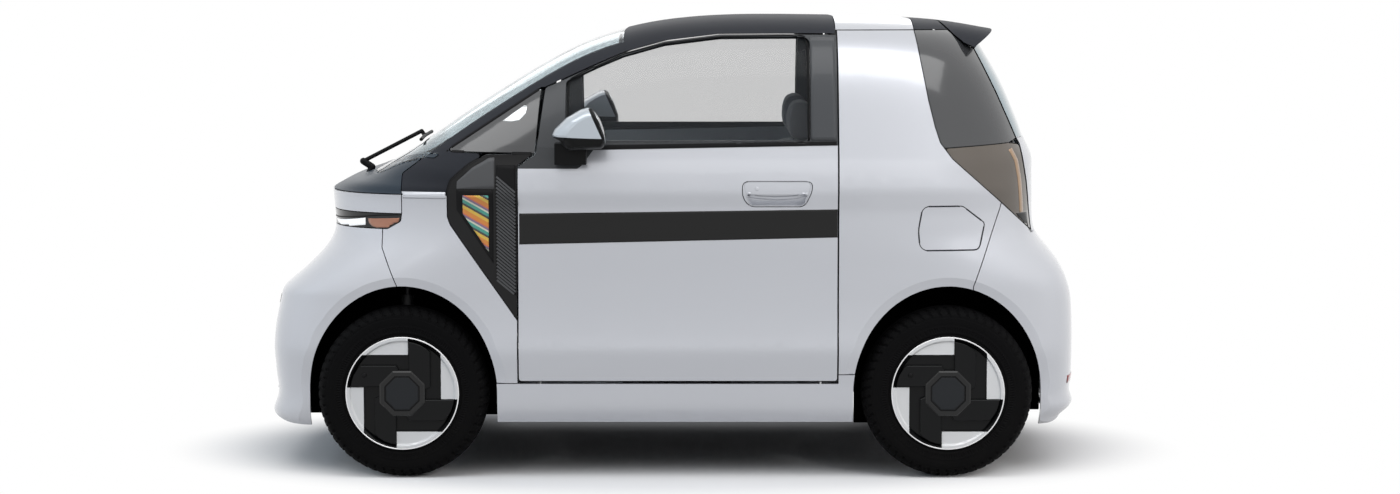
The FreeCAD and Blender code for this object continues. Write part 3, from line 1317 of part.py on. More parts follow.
def wiper():
    def at(share, y):
        return V(share[0] * length, y, share[1] * height)

    post_y, knee_y = wiper_y[1], wiper_y[1]
    foot, top = [at(s, post_y) for s in wiper_post_shares]
    knee, tip = at(wiper_knee_share, knee_y), at(wiper_tip_share, (wiper_y[0] + wiper_y[2]) / 2)
    middle = at(wiper_blade_share, (wiper_y[0] + wiper_y[2]) / 2)
    left, right = at(wiper_blade_share, wiper_y[0]) + V(wiper_end_shift, 0, 0), at(wiper_blade_share, wiper_y[2])
    post = rod(foot, top, wiper_post_radius)
    pieces = [rod(top, knee, wiper_post_radius), rod(knee, tip, wiper_arm_radius), rod(tip, middle, wiper_arm_radius),
              rod(middle, left, wiper_blade_radius), rod(middle, right, wiper_blade_radius)]
    for joint, radius in ((top, wiper_post_radius), (knee, wiper_post_radius), (tip, wiper_arm_radius),
                          (middle, wiper_arm_radius)):
        pieces.append(Part.makeSphere(radius, joint))
    save("wiper", inner_part(post.fuse(pieces).cut(roof_walls), knee))


for build in (front_panels, roof_panels, tail_panels, tailgate_parts, door_parts, front_structure, floor_parts, linings,
              liners, knuckles, front_subframe, steering_rack, rear_axle, heavy_blocks, wheels, seats, dashboard,
              steering_wheel, mirrors, wiper, hinges):
    build()
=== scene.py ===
import bpy
import bmesh
import json
import math
import numpy as np
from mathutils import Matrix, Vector


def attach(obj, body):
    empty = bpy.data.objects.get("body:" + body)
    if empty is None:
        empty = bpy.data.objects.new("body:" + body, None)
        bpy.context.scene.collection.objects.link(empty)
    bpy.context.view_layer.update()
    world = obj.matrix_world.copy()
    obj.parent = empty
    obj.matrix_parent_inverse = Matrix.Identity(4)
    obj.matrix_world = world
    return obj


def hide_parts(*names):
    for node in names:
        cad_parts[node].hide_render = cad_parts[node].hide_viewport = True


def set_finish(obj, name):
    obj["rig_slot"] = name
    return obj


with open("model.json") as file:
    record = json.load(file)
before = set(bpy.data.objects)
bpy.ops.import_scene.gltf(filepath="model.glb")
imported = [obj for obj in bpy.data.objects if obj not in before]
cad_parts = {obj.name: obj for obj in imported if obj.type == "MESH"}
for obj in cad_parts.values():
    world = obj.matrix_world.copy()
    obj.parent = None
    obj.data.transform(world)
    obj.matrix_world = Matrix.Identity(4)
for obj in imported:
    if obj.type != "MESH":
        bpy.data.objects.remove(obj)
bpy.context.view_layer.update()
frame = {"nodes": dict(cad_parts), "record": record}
nodes = frame["nodes"]
scene = bpy.context.scene
print("frame loaded:", len(nodes), "nodes")

# the car's main places, in metres: nose towards -x, left side towards -y
car = dict(hubHeight=0.285, halfTrack=0.635, tyreWidth=0.165, axles=dict(front=-0.894, rear=0.917))
sides = {"left": -1, "right": 1}
corners = [(end + "_" + hand, np.array((axle, side * car["halfTrack"], car["hubHeight"])), side)
           for end, axle in car["axles"].items() for hand, side in sides.items()]


def newNode(tree, kind, values=(), **settings):
    # a shader node with its own settings, and numbers, colours or links on its named inputs
    node = tree.nodes.new("ShaderNode" + kind)
    for label, value in settings.items():
        setattr(node, label, value)
    for label, value in dict(values).items():
        plug(tree, value, node.inputs[label])
    return node


def plug(tree, value, socket):
    # a number or a colour set on a socket, or another socket linked to it
    if isinstance(value, (int, float, tuple)):
        socket.default_value = value
    else:
        tree.links.new(value, socket)


def newMaterial(name):
    # a material with its node tree and its Principled shader
    material = bpy.data.materials.new(name)
    material.use_nodes = True
    return material, material.node_tree, material.node_tree.nodes["Principled BSDF"]


def mathNode(tree, operation, *values, clamp=False):
    # one sum of sockets or numbers
    node = newNode(tree, "Math", operation=operation, use_clamp=clamp)
    for socket, value in zip(node.inputs, values):
        plug(tree, value, socket)
    return node.outputs[0]


def mixNode(tree, factor, first, second, kind="RGBA"):
    # a mix of two colours or two numbers
    node = newNode(tree, "Mix", data_type=kind)
    sockets = [s for s in node.inputs if s.name in ("Factor", "A", "B") and s.enabled]
    for socket, value in zip(sockets, (factor, first, second)):
        plug(tree, value, socket)
    return [s for s in node.outputs if s.enabled][0]


def objectPlace(tree):
    return newNode(tree, "TexCoord").outputs["Object"]


def objectAxes(tree):
    return newNode(tree, "SeparateXYZ", {"Vector": objectPlace(tree)}).outputs


def noiseNode(tree, place, scale, detail=3.0):
    return newNode(tree, "TexNoise", {"Vector": place, "Scale": scale, "Detail": detail}).outputs["Fac"]


def shaderGroup(name, inputs, outputs):
    # an empty node group: named numbers or colours in, and named sockets out
    group = bpy.data.node_groups.new(name, "ShaderNodeTree")
    for label, value in inputs.items():
        kind = "NodeSocketColor" if isinstance(value, tuple) else "NodeSocketFloat"
        group.interface.new_socket(name=label, in_out="INPUT", socket_type=kind).default_value = value
    for label, kind in outputs.items():
        group.interface.new_socket(name=label, in_out="OUTPUT", socket_type="NodeSocket" + kind)
    return group, group.nodes.new("NodeGroupInput").outputs, group.nodes.new("NodeGroupOutput").inputs


noises = dict(wanderScale=3.5, wanderDetail=4.0, dustScale=14.0, dustDetail=5.0, toneDetail=4.0, secondShare=0.93)


def grainGroup():
    # fine noise as a height, and a roughness that wanders with wide noise
    group, given, made = shaderGroup("surfaceGrain", {"Scale": 300.0, "Roughness": 0.4, "Wander": 0.05},
                                     {"Height": "Float", "Roughness": "Float"})
    place = objectPlace(group)
    wide = mathNode(group, "SUBTRACT", noiseNode(group, place, noises["wanderScale"], noises["wanderDetail"]), 0.5)
    rough = mathNode(group, "MULTIPLY_ADD", wide, given["Wander"], given["Roughness"])
    group.links.new(noiseNode(group, place, given["Scale"]), made["Height"])
    group.links.new(rough, made["Roughness"])
    return group


def dustGroup():
    # road dust: one minus height over its top, times soft patches, mixed into the colour
    group, given, made = shaderGroup(
        "roadDust", {"Base": (0.5, 0.5, 0.5, 1), "Dust": (0.35, 0.32, 0.28, 1), "Top": 0.45, "Amount": 0.25},
        {"Color": "Color"})
    height = mathNode(group, "DIVIDE", objectAxes(group)["Z"], given["Top"])
    low = mathNode(group, "SUBTRACT", 1.0, height, clamp=True)
    patches = noiseNode(group, objectPlace(group), noises["dustScale"], noises["dustDetail"])
    much = mathNode(group, "MULTIPLY", mathNode(group, "MULTIPLY", low, patches), given["Amount"])
    group.links.new(mixNode(group, much, given["Base"], given["Dust"]), made["Color"])
    return group


def aboveGroup():
    # 1 where z is above a line that runs smoothly from one height to another between two x places
    group, given, made = shaderGroup("aboveLine", {"X from": -1.0, "X to": 1.0, "Z from": 1.0, "Z to": 1.0},
                                     {"Mask": "Float"})
    place = objectAxes(group)
    line = newNode(group, "MapRange", {
        "Value": place["X"], "From Min": given["X from"], "From Max": given["X to"], "To Min": given["Z from"],
        "To Max": given["Z to"]}, interpolation_type="SMOOTHSTEP")
    group.links.new(mathNode(group, "GREATER_THAN", place["Z"], line.outputs["Result"]), made["Mask"])
    return group


def withinGroup():
    # 1 where shares of x, of the distance from the middle of the car and of z add up to less than the limit
    group, given, made = shaderGroup("withinPlane", {"X share": 0.0, "Y share": 0.0, "Z share": 0.0, "Limit": 0.0},
                                     {"Mask": "Float"})
    place = objectAxes(group)
    total = mathNode(group, "ADD", mathNode(group, "MULTIPLY", place["X"], given["X share"]),
                     mathNode(group, "MULTIPLY", place["Z"], given["Z share"]))
    across = mathNode(group, "MULTIPLY", mathNode(group, "ABSOLUTE", place["Y"]), given["Y share"])
    total = mathNode(group, "ADD", total, across)
    group.links.new(mathNode(group, "LESS_THAN", total, given["Limit"]), made["Mask"])
    return group


groups = {"grain": grainGroup(), "dust": dustGroup(), "above": aboveGroup(), "within": withinGroup()}


def placed(tree, kind, values):
    # a shader group in a material, with its own values
    return newNode(tree, "Group", values, node_tree=groups[kind]).outputs


finishes = {}


def finish(name, color, roughness=0.4, metallic=0.0, coat=0.0, coatRoughness=0.04, grainScale=300.0, bump=0.0,
           bumpDistance=0.0005, wander=0.05, dusty=0.0, dustTop=0.45, specular=0.5, transmission=0.0, ior=1.45,
           emission=0.0, second=None, secondScale=4.0, sheen=0.0, alpha=1.0, zones=()):
    # a Principled finish with grain, a second tone in soft patches, dust low down and zones of another finish
    material, tree, shader = newMaterial(name)
    cloud = noiseNode(tree, objectPlace(tree), secondScale, noises["toneDetail"])
    second = second or [c * noises["secondShare"] for c in color]
    tone = mixNode(tree, cloud, (*color, 1), (*second, 1))
    if dusty > 0:
        tone = placed(tree, "dust", {"Amount": dusty, "Top": dustTop, "Base": tone})["Color"]
    surface = placed(tree, "grain", {"Scale": grainScale, "Roughness": roughness, "Wander": wander})
    rough, shine, cover = surface["Roughness"], metallic, coat
    for zone in zones:
        mask = placed(tree, zone["kind"], zone["place"])["Mask"]
        tone = mixNode(tree, mask, tone, (*zone["color"], 1))
        rough = mixNode(tree, mask, rough, zone["roughness"], "FLOAT")
        shine = mixNode(tree, mask, shine, zone.get("metallic", 0.0), "FLOAT")
        cover = mixNode(tree, mask, cover, zone["coat"], "FLOAT")
    for label, value in (("Base Color", tone), ("Roughness", rough), ("Metallic", shine), ("Coat Weight", cover),
                         ("Coat Roughness", coatRoughness), ("Specular IOR Level", specular), ("IOR", ior),
                         ("Transmission Weight", transmission), ("Sheen Weight", sheen), ("Alpha", alpha)):
        plug(tree, value, shader.inputs[label])
    if emission > 0:
        shader.inputs["Emission Color"].default_value = (*color, 1)
        shader.inputs["Emission Strength"].default_value = emission
    if bump > 0:
        rise = newNode(tree, "Bump", {"Strength": bump, "Distance": bumpDistance, "Height": surface["Height"]})
        tree.links.new(rise.outputs["Normal"], shader.inputs["Normal"])
    finishes[name] = material


paint = dict(
    color=(0.575, 0.59, 0.63), second=(0.56, 0.575, 0.618), roughness=0.32, metallic=0.5, coat=0.8, grainScale=1800,
    bump=0.02, bumpDistance=0.0002, wander=0.03, dusty=0.22, dustTop=0.3
)
frameDark = dict(color=(0.036, 0.039, 0.043), roughness=0.42, coat=0.12)
# the door is pale inside, and dark above the window's lower line and behind the quarter glass
doorZones = [
    {"kind": "within", "place": {"Y share": 1.0, "Limit": 0.688}, "color": (0.3, 0.31, 0.33), "roughness": 0.62,
     "coat": 0.0},
    {"kind": "above", "place": {"X from": -0.315, "X to": -0.235, "Z from": 1.0325, "Z to": 1.1079}, **frameDark},
    {"kind": "within", "place": {"X share": 0.0183, "Z share": -1.0, "Limit": -1.098}, **frameDark},
]
# the mirror has a painted cap and a black back
mirrorZones = [
    {"kind": "above", "place": {"X from": -0.4, "X to": -0.21, "Z from": 1.144, "Z to": 1.139},
     "color": (0.5, 0.55, 0.6), "roughness": 0.3, "metallic": 0.5, "coat": 1.0},
    {"kind": "within", "place": {"X share": -1.0, "Z share": -0.45, "Limit": -0.288},
     "color": (0.005, 0.005, 0.006), "roughness": 0.4, "coat": 0.0},
]
tailZones = [{"kind": "above", "place": {"X from": 0.5, "X to": 1.5, "Z from": 0.88, "Z to": 0.88},
              "color": (0.105, 0.088, 0.072), "roughness": 0.2, "coat": 0.6}]
finish("bodyPaint", **paint)
finish("doorPaint", **paint, zones=doorZones)
finish("mirrorPaint", (0.004, 0.0042, 0.0045), 0.4, specular=0.15, wander=0.03, zones=mirrorZones)
finish("darkGloss", (0.022, 0.025, 0.029), 0.3, coat=0.35, coatRoughness=0.08, specular=0.4, wander=0.03,
       second=(0.027, 0.03, 0.034))
finish("pillarGloss", (0.052, 0.056, 0.062), 0.34, coat=0.25, specular=0.4, wander=0.03)
finish("roofSatin", (0.026, 0.028, 0.034), 0.6, specular=0.15, grainScale=900, bump=0.05, wander=0.03)
finish("cowlSatin", (0.016, 0.028, 0.042), 0.5, coat=0.35, coatRoughness=0.25, specular=0.2, wander=0.03)
# painted shade: the dark colour of the ribbons laid along the gaps round the door grip and the charging flap
finish("seamDark", (0.03, 0.031, 0.036), 0.5, specular=0.2)
finish("blackBand", (0.0055, 0.0055, 0.0055), 0.36, specular=0.35, wander=0.04)
finish("pianoBlack", (0.004, 0.004, 0.0045), 0.28, coat=0.1, specular=0.25, wander=0.02)
finish("darkTrim", (0.022, 0.023, 0.025), 0.48, grainScale=900, bump=0.25, dusty=0.15)
finish("ribTrim", (0.078, 0.08, 0.084), 0.4, grainScale=900, bump=0.2)
finish("softBlack", (0.004, 0.004, 0.0045), 0.6, specular=0.2, grainScale=700, bump=0.3)
finish("liner", (0.002, 0.002, 0.002), 0.95, grainScale=260, bump=0.6, bumpDistance=0.001, specular=0.05)
finish("rubber", (0.0036, 0.0036, 0.004), 0.72, grainScale=420, bump=0.35, dusty=0.015, dustTop=0.6,
       second=(0.0052, 0.0052, 0.0056), specular=0.06)
finish("wheelBlack", (0.0042, 0.0045, 0.005), 0.3, coat=0.06, specular=0.16, grainScale=900, bump=0.06)
finish("hubGloss", (0.003, 0.0032, 0.0036), 0.18, coat=0.25, specular=0.3, wander=0.02)
finish("hubGrey", (0.024, 0.026, 0.029), 0.42, specular=0.2)
finish("wheelSilver", (0.84, 0.85, 0.86), 0.3, metallic=0.15, coat=0.7)
finish("brightEdge", (0.85, 0.85, 0.86), 0.15, metallic=0.9)
finish("steel", (0.42, 0.42, 0.43), 0.35, metallic=1.0, grainScale=600, bump=0.1)
finish("castIron", (0.16, 0.155, 0.15), 0.62, metallic=0.7, grainScale=240, bump=0.5, bumpDistance=0.001)
finish("chassis", (0.022, 0.022, 0.023), 0.5, grainScale=500, bump=0.3, dusty=0.4, dustTop=0.6)
finish("structure", (0.035, 0.036, 0.038), 0.5, metallic=0.2, grainScale=500, bump=0.2, dusty=0.3, dustTop=0.6)
finish("battery", (0.1, 0.105, 0.11), 0.42, metallic=0.5, dusty=0.35, dustTop=0.5)
finish("motor", (0.42, 0.42, 0.43), 0.5, metallic=0.9, grainScale=220, bump=0.5, bumpDistance=0.001)
finish("cabinTrim", (0.05, 0.051, 0.055), 0.62, grainScale=1200, bump=0.4)
finish("seatCloth", (0.13, 0.135, 0.145), 0.9, grainScale=1500, bump=0.7, sheen=0.3, second=(0.17, 0.175, 0.185),
       secondScale=120)
finish("clearGlass", (0.05, 0.055, 0.062), 0.03, alpha=0.14, wander=0.0)
finish("screenGlass", (0.8, 0.88, 0.91), 0.02, transmission=1.0, ior=1.2, wander=0.0)
finish("darkGlass", (0.034, 0.036, 0.039), 0.16, coat=1.0, coatRoughness=0.08, wander=0.03,
       second=(0.042, 0.043, 0.046))
finish("tealGlass", (0.13, 0.21, 0.25), 0.1, coat=1.0, wander=0.02, second=(0.16, 0.25, 0.29))
finish("lampLens", (0.008, 0.009, 0.01), 0.16, coat=0.35, specular=0.3)
finish("lampWhite", (0.86, 0.87, 0.88), 0.2, coat=0.8, emission=0.45)
finish("lampAmber", (0.5, 0.185, 0.095), 0.3, coat=0.8, second=(0.36, 0.15, 0.085), secondScale=22)
finish("tailSmoke", (0.08, 0.068, 0.058), 0.2, coat=1.0, coatRoughness=0.08, second=(0.11, 0.092, 0.076),
       zones=tailZones)
# painted highlight: the warm colour of the gleam laid down the tail lamp
finish("tailGold", (0.3, 0.21, 0.14), 0.35, metallic=0.5, coat=0.8, second=(0.42, 0.27, 0.16), secondScale=9)
finish("tailRed", (0.3, 0.015, 0.015), 0.22, coat=0.8)
finish("mirrorGlass", (0.72, 0.75, 0.77), 0.03, metallic=1.0, wander=0.0)


def stripedPattern():
    # slanting bars of seven colours: the colour follows x plus z, in steps
    tones = [(0.0, (0.78, 0.27, 0.03)), (0.22, (0.8, 0.52, 0.06)), (0.4, (0.02, 0.02, 0.02)),
             (0.52, (0.05, 0.36, 0.28)), (0.7, (0.7, 0.72, 0.58)), (0.8, (0.24, 0.16, 0.26)),
             (0.92, (0.72, 0.16, 0.07))]
    turns = {"X": 9.0, "Z": 16.0}
    material, tree, shader = newMaterial("stripedPattern")
    shader.inputs["Roughness"].default_value = 0.25
    shader.inputs["Coat Weight"].default_value = 0.6
    place = objectAxes(tree)
    slant = mathNode(tree, "ADD", *[mathNode(tree, "MULTIPLY", place[axis], turns[axis]) for axis in turns])
    ramp = newNode(tree, "ValToRGB", {"Fac": mathNode(tree, "FRACT", slant)})
    ramp.color_ramp.interpolation = "CONSTANT"
    for index, (at, tone) in enumerate(tones):
        stop = ramp.color_ramp.elements[index] if index < 2 else ramp.color_ramp.elements.new(at)
        stop.position = at
        stop.color = (*tone, 1)
    tree.links.new(ramp.outputs["Color"], shader.inputs["Base Color"])
    finishes["stripedPattern"] = material


stripedPattern()
print("finishes made:", len(finishes))

# a node's finish: its own, its slot's, or else the one with the slot's name in camelCase
slotFinish = {"tail_lens": "tailSmoke", "tyre": "rubber", "wheel": "wheelBlack"}
nodeFinish = {
    "tailgate_glass": "tealGlass", "roof_shell": "roofSatin", "spoiler": "roofSatin", "mirror_left": "mirrorPaint",
    "mirror_right": "mirrorPaint", "windscreen": "screenGlass", "door_left": "doorPaint", "door_right": "doorPaint",
    "cowl_panel": "cowlSatin", "side_garnish": "pianoBlack", "hinge_pins": "softBlack", "wiper": "softBlack",
}
for part in frame["record"]["subparts"]:
    first, *rest = part["material_slot"].split("_")
    named = slotFinish.get(part["material_slot"], first + "".join(rest).title())
    chosen = finishes[nodeFinish.get(part["node"], named)]
    held = nodes[part["node"]].data.materials
    if not held:
        held.append(chosen)
    for index in range(len(held)):
        held[index] = chosen
print("nodes finished")


def added(name, data):
    # a new object in the scene
    thing = bpy.data.objects.new(name, data)
    scene.collection.objects.link(thing)
    return thing


def gridPiece(name, grids, body, finishName, slot=None, smooth=True, weld=0.00001):
    # one mesh from grids of points (rows, columns, 3), each with its two wrap flags
    points, quads, start = [], [], 0
    for grid, wrapRows, wrapColumns in grids:
        rows, columns = grid.shape[:2]
        index = start + np.arange(rows * columns).reshape(rows, columns)
        i, j = np.meshgrid(np.arange(rows if wrapRows else rows - 1),
                           np.arange(columns if wrapColumns else columns - 1), indexing="ij")
        k, m = (i + 1) % rows, (j + 1) % columns
        quads.append(np.stack([index[i, j], index[k, j], index[k, m], index[i, m]], -1).reshape(-1, 4))
        points.append(grid.reshape(-1, 3))
        start += rows * columns
    mesh = bpy.data.meshes.new(name)
    mesh.from_pydata(np.concatenate(points).tolist(), [], np.concatenate(quads).tolist())
    shape = bmesh.new()
    shape.from_mesh(mesh)
    bmesh.ops.remove_doubles(shape, verts=shape.verts, dist=weld)
    bmesh.ops.dissolve_degenerate(shape, edges=shape.edges, dist=weld)
    bmesh.ops.recalc_face_normals(shape, faces=shape.faces)
    shape.to_mesh(mesh)
    shape.free()
    mesh.materials.append(finishes[finishName])
    if smooth:
        mesh.shade_smooth()
    piece = added(name, mesh)
    if body:
        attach(piece, body)
    if slot:
        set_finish(piece, slot)
    return piece


def pointsOf(mesh, what="co"):
    # the mesh's points, or its normals, in rows
    points = np.empty(len(mesh.vertices) * 3)
    mesh.vertices.foreach_get(what, points)
    return points.reshape(-1, 3)


def applied(piece):
    # the piece with its modifiers made real
    graph = bpy.context.evaluated_depsgraph_get()
    made = bpy.data.meshes.new_from_object(piece.evaluated_get(graph))
    piece.modifiers.clear()
    old = piece.data
    piece.data = made
    bpy.data.meshes.remove(old)


def turned(mesh, degrees):
    # the mesh's points turned about the upright axis
    c, s = math.cos(math.radians(degrees)), math.sin(math.radians(degrees))
    points = pointsOf(mesh) @ np.array([[c, s, 0], [-s, c, 0], [0, 0, 1]])
    mesh.vertices.foreach_set("co", points.ravel())
    mesh.update()


skins = {}


def skinOf(names, turn):
    # a joined and turned copy of some nodes, to lay thin pieces on
    key = "+".join(names) + str(turn)
    if key not in skins:
        mesh = bpy.data.meshes.new("skin")
        shape = bmesh.new()
        for name in names:
            shape.from_mesh(nodes[name].data)
        bmesh.ops.remove_doubles(shape, verts=shape.verts, dist=0.00002)
        shape.to_mesh(mesh)
        shape.free()
        turned(mesh, turn)
        skins[key] = added("skin" + str(len(skins)), mesh)
    return skins[key]


def laid(name, grids, on, finishName, slot="dark_trim", body="body", lift=0.0012, thick=0.0018, axis="Y", turn=0,
         smooth=True, reach=0.5):
    # sheets of points pressed along one axis onto the skin of some nodes and then thickened inwards;
    # with a turn they are given as they stand once the car is turned by that many degrees
    piece = gridPiece(name, [(grid, False, wrap) for grid, wrap in grids], None, finishName, slot, smooth)
    way = "XY".index(axis)
    start = pointsOf(piece.data)[:, way]
    wanted = Vector((0, -1.0, 0) if way else (1.0 if start.mean() > 0 else -1.0, 0, 0))
    if sum((p.normal * p.area for p in piece.data.polygons), Vector()).dot(wanted) < 0:
        piece.data.flip_normals()
    press = piece.modifiers.new("press", "SHRINKWRAP")
    press.target = skinOf(on, turn)
    press.wrap_method = "PROJECT"
    press.wrap_mode = "ABOVE_SURFACE"
    setattr(press, "use_project_" + axis.lower(), True)
    press.use_negative_direction = wanted[way] > 0
    press.use_positive_direction = wanted[way] < 0
    press.project_limit = reach
    press.offset = lift
    applied(piece)
    shape = bmesh.new()
    shape.from_mesh(piece.data)
    missed = [v for v, was in zip(shape.verts, start) if abs(v.co[way] - was) < 1e-6]
    bmesh.ops.delete(shape, geom=missed, context="VERTS")
    shape.to_mesh(piece.data)
    shape.free()
    wall = piece.modifiers.new("thickness", "SOLIDIFY")
    wall.thickness = thick
    wall.offset = -1
    applied(piece)
    turned(piece.data, -turn)
    if missed:
        print(name, "points past the edge:", len(missed))
    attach(piece, body)
    return piece


def mirrorPiece(piece, body):
    # the same piece on the right side, with its slot
    mesh = piece.data.copy()
    mesh.vertices.foreach_set("co", (pointsOf(mesh) * (1, -1, 1)).ravel())
    mesh.flip_normals()
    other = added(piece.name.replace("_left", "_right"), mesh)
    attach(other, body)
    if "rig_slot" in piece:
        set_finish(other, piece["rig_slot"])
    return other


def laidPair(name, grid, on, finishName, slot="dark_trim", body="body", **how):
    # a laid piece on the left side and its mirror image on the right, on the body or on the doors
    piece = laid(name + "_left", grid if isinstance(grid, list) else [grid], on, finishName, slot, body, **how)
    mirrorPiece(piece, body.replace("_left", "_right"))


def revolved(profile, steps, centre, side, start=0.0):
    # a (radius, depth) profile turned about the y axis through a centre; depth runs outwards
    angle = np.linspace(0, 2 * np.pi, steps, endpoint=False) + start
    radius, out = np.array(profile).T
    x = centre[0] + np.cos(angle)[:, None] * radius
    z = centre[2] + np.sin(angle)[:, None] * radius
    return np.stack([x, np.broadcast_to(centre[1] + side * out, x.shape), z], -1), True, False


def closedSheet(front, back):
    # a front and a back grid joined round all four edges
    middle = (front + back) / 2
    rows = np.concatenate([front, back[::-1]], 0)
    ends = np.concatenate([middle, middle[::-1]], 0)
    return np.concatenate([ends[:, :1], rows, ends[:, -1:]], 1), True, False


def capped(grid, first, last):
    # a tube of rings closed by a point at each end
    ends = [np.broadcast_to(point, (1, grid.shape[1], 3)) for point in (first, last)]
    return np.concatenate([ends[0], grid, ends[1]], 0), False, True


def tubeAlong(path, radius, around=12):
    # a round tube along a path of points: rings square to the path, closed at both ends
    path = np.array(path, float)
    run = np.gradient(path, axis=0)
    run /= np.linalg.norm(run, axis=1)[:, None]
    up = np.where(np.abs(run[:, 2:3]) > 0.9, np.array([[1.0, 0, 0]]), np.array([[0, 0, 1.0]]))
    side = np.cross(run, up)
    side /= np.linalg.norm(side, axis=1)[:, None]
    up = np.cross(side, run)
    angle = np.linspace(0, 2 * np.pi, around, endpoint=False)[None, :, None]
    ring = side[:, None, :] * np.cos(angle) + up[:, None, :] * np.sin(angle)
    return capped(path[:, None, :] + ring * np.broadcast_to(radius, len(path))[:, None, None], path[0], path[-1])


# the picture's scale in millimetres to a pixel, and the place of one pixel in metres
picture = dict(scale=3.321, pixel=(700, -47), at=(0.094, 1.7465))


def pictured(points, scale=picture["scale"]):
    # x and z in metres from places in the picture
    flat = (np.array(points, float) - picture["pixel"]).T * (np.array(scale) / 1000)
    return np.stack([picture["at"][0] + flat[0], picture["at"][1] - flat[1]], -1)


def resampled(path, count, closed=False):
    # points spaced evenly along a path
    path = np.array(path, float)
    if closed:
        path = np.concatenate([path, path[:1]])
    at = np.concatenate([[0], np.cumsum(np.linalg.norm(np.diff(path, axis=0), axis=1))])
    s = np.linspace(0, at[-1], count, endpoint=not closed)
    return np.stack([np.interp(s, at, path[:, k]) for k in range(path.shape[1])], -1)


def rounded(points, radius, steps=7):
    # an outline whose corners are quadratic curves that start and end a radius away
    p = np.array(points, float)
    before, after = np.roll(p, 1, 0) - p, np.roll(p, -1, 0) - p
    lengthB, lengthA = [np.linalg.norm(leg, axis=1)[:, None] for leg in (before, after)]
    start = p + before / lengthB * np.minimum(radius, 0.45 * lengthB)
    end = p + after / lengthA * np.minimum(radius, 0.45 * lengthA)
    t = np.linspace(0, 1, steps)[None, :, None]
    return (start[:, None] * (1 - t) ** 2 + 2 * p[:, None] * t * (1 - t) + end[:, None] * t ** 2).reshape(-1, 2)


def standing(flat, y=-0.85):
    # (x, z) points stood up at some y
    return np.insert(flat, 1, y, -1)


def between(top, bottom, rows, columns, y=-0.85):
    # a sheet between two (x, z) lines: straight from each point of one to its fellow on the other
    a, b = resampled(top, columns), resampled(bottom, columns)
    v = np.linspace(0, 1, rows)[:, None, None]
    return standing(a[None] * (1 - v) + b[None] * v, y), False


def quad(p, rows, columns, y=-0.85):
    # a sheet between four (x, z) corners, given round its edge from the upper left
    return between(p[:2], p[[3, 2]], rows, columns, y)


def sized(ring, shares):
    # a ring made smaller about its middle, once for each share
    middle = ring.mean(0)
    return middle + (ring - middle)[None] * np.array(shares)[:, None, None]


def fanned(outline, rings, count, y=-0.85):
    # rings that shrink from an outline to its middle
    return standing(sized(resampled(outline, count, closed=True), np.linspace(1, 0, rings)), y), True


def ribbon(points, width, rows=3, y=-0.85, closed=False, step=0.008):
    # a flat ribbon of some width along an (x, z) path
    path = np.array(points, float)
    legs = np.linalg.norm(np.diff(np.concatenate([path, path[:1]]) if closed else path, axis=0), axis=1)
    line = resampled(path, max(int(legs.sum() / step), 8), closed)
    run = np.roll(line, -1, 0) - np.roll(line, 1, 0) if closed else np.gradient(line, axis=0)
    run /= np.linalg.norm(run, axis=1)[:, None] + 1e-9
    side = np.stack([-run[:, 1], run[:, 0]], -1)
    across = np.linspace(-0.5, 0.5, rows) * width
    sheet = standing(line[:, None, :] + side[:, None, :] * across[None, :, None], y)
    return (sheet.transpose(1, 0, 2), True) if closed else (sheet, False)


# the profile is (radius, distance in from the sidewall), from the bead to the crown
tyre = dict(
    steps=324, blocks=54, treadDepth=0.006, slant=9.0, blockShare=0.3, shoulderRadius=0.259, shoulderDepth=0.026,
    shoulderCut=0.75, wallRadius=0.272, wallCut=0.0028, ringRadius=0.275, ringDepth=0.0215, ringHalf=0.0042,
    middleHalf=0.002, ribs=162, ribDepth=0.0016, ribInner=0.203, ribOuter=0.222, ribShare=0.49, crown=0.285,
    profile=[(0.178, 0.01), (0.184, 0.004), (0.19, 0.0015), (0.1935, 0.004), (0.197, 0.004), (0.2, 0.0005),
        (0.203, 0), (0.209, 0), (0.216, 0), (0.2225, 0), (0.2265, 0.0008), (0.236, 0.0006), (0.246, 0.0012),
        (0.25, 0.0016), (0.2515, 0.0026), (0.256, 0.003), (0.26, 0.0036), (0.265, 0.006), (0.269, 0.0095),
        (0.2725, 0.014), (0.2757, 0.02), (0.2783, 0.026), (0.2805, 0.0325), (0.2822, 0.04), (0.2833, 0.048),
        (0.2841, 0.055), (0.2846, 0.062), (0.2849, 0.07), (0.285, 0.076)]
)


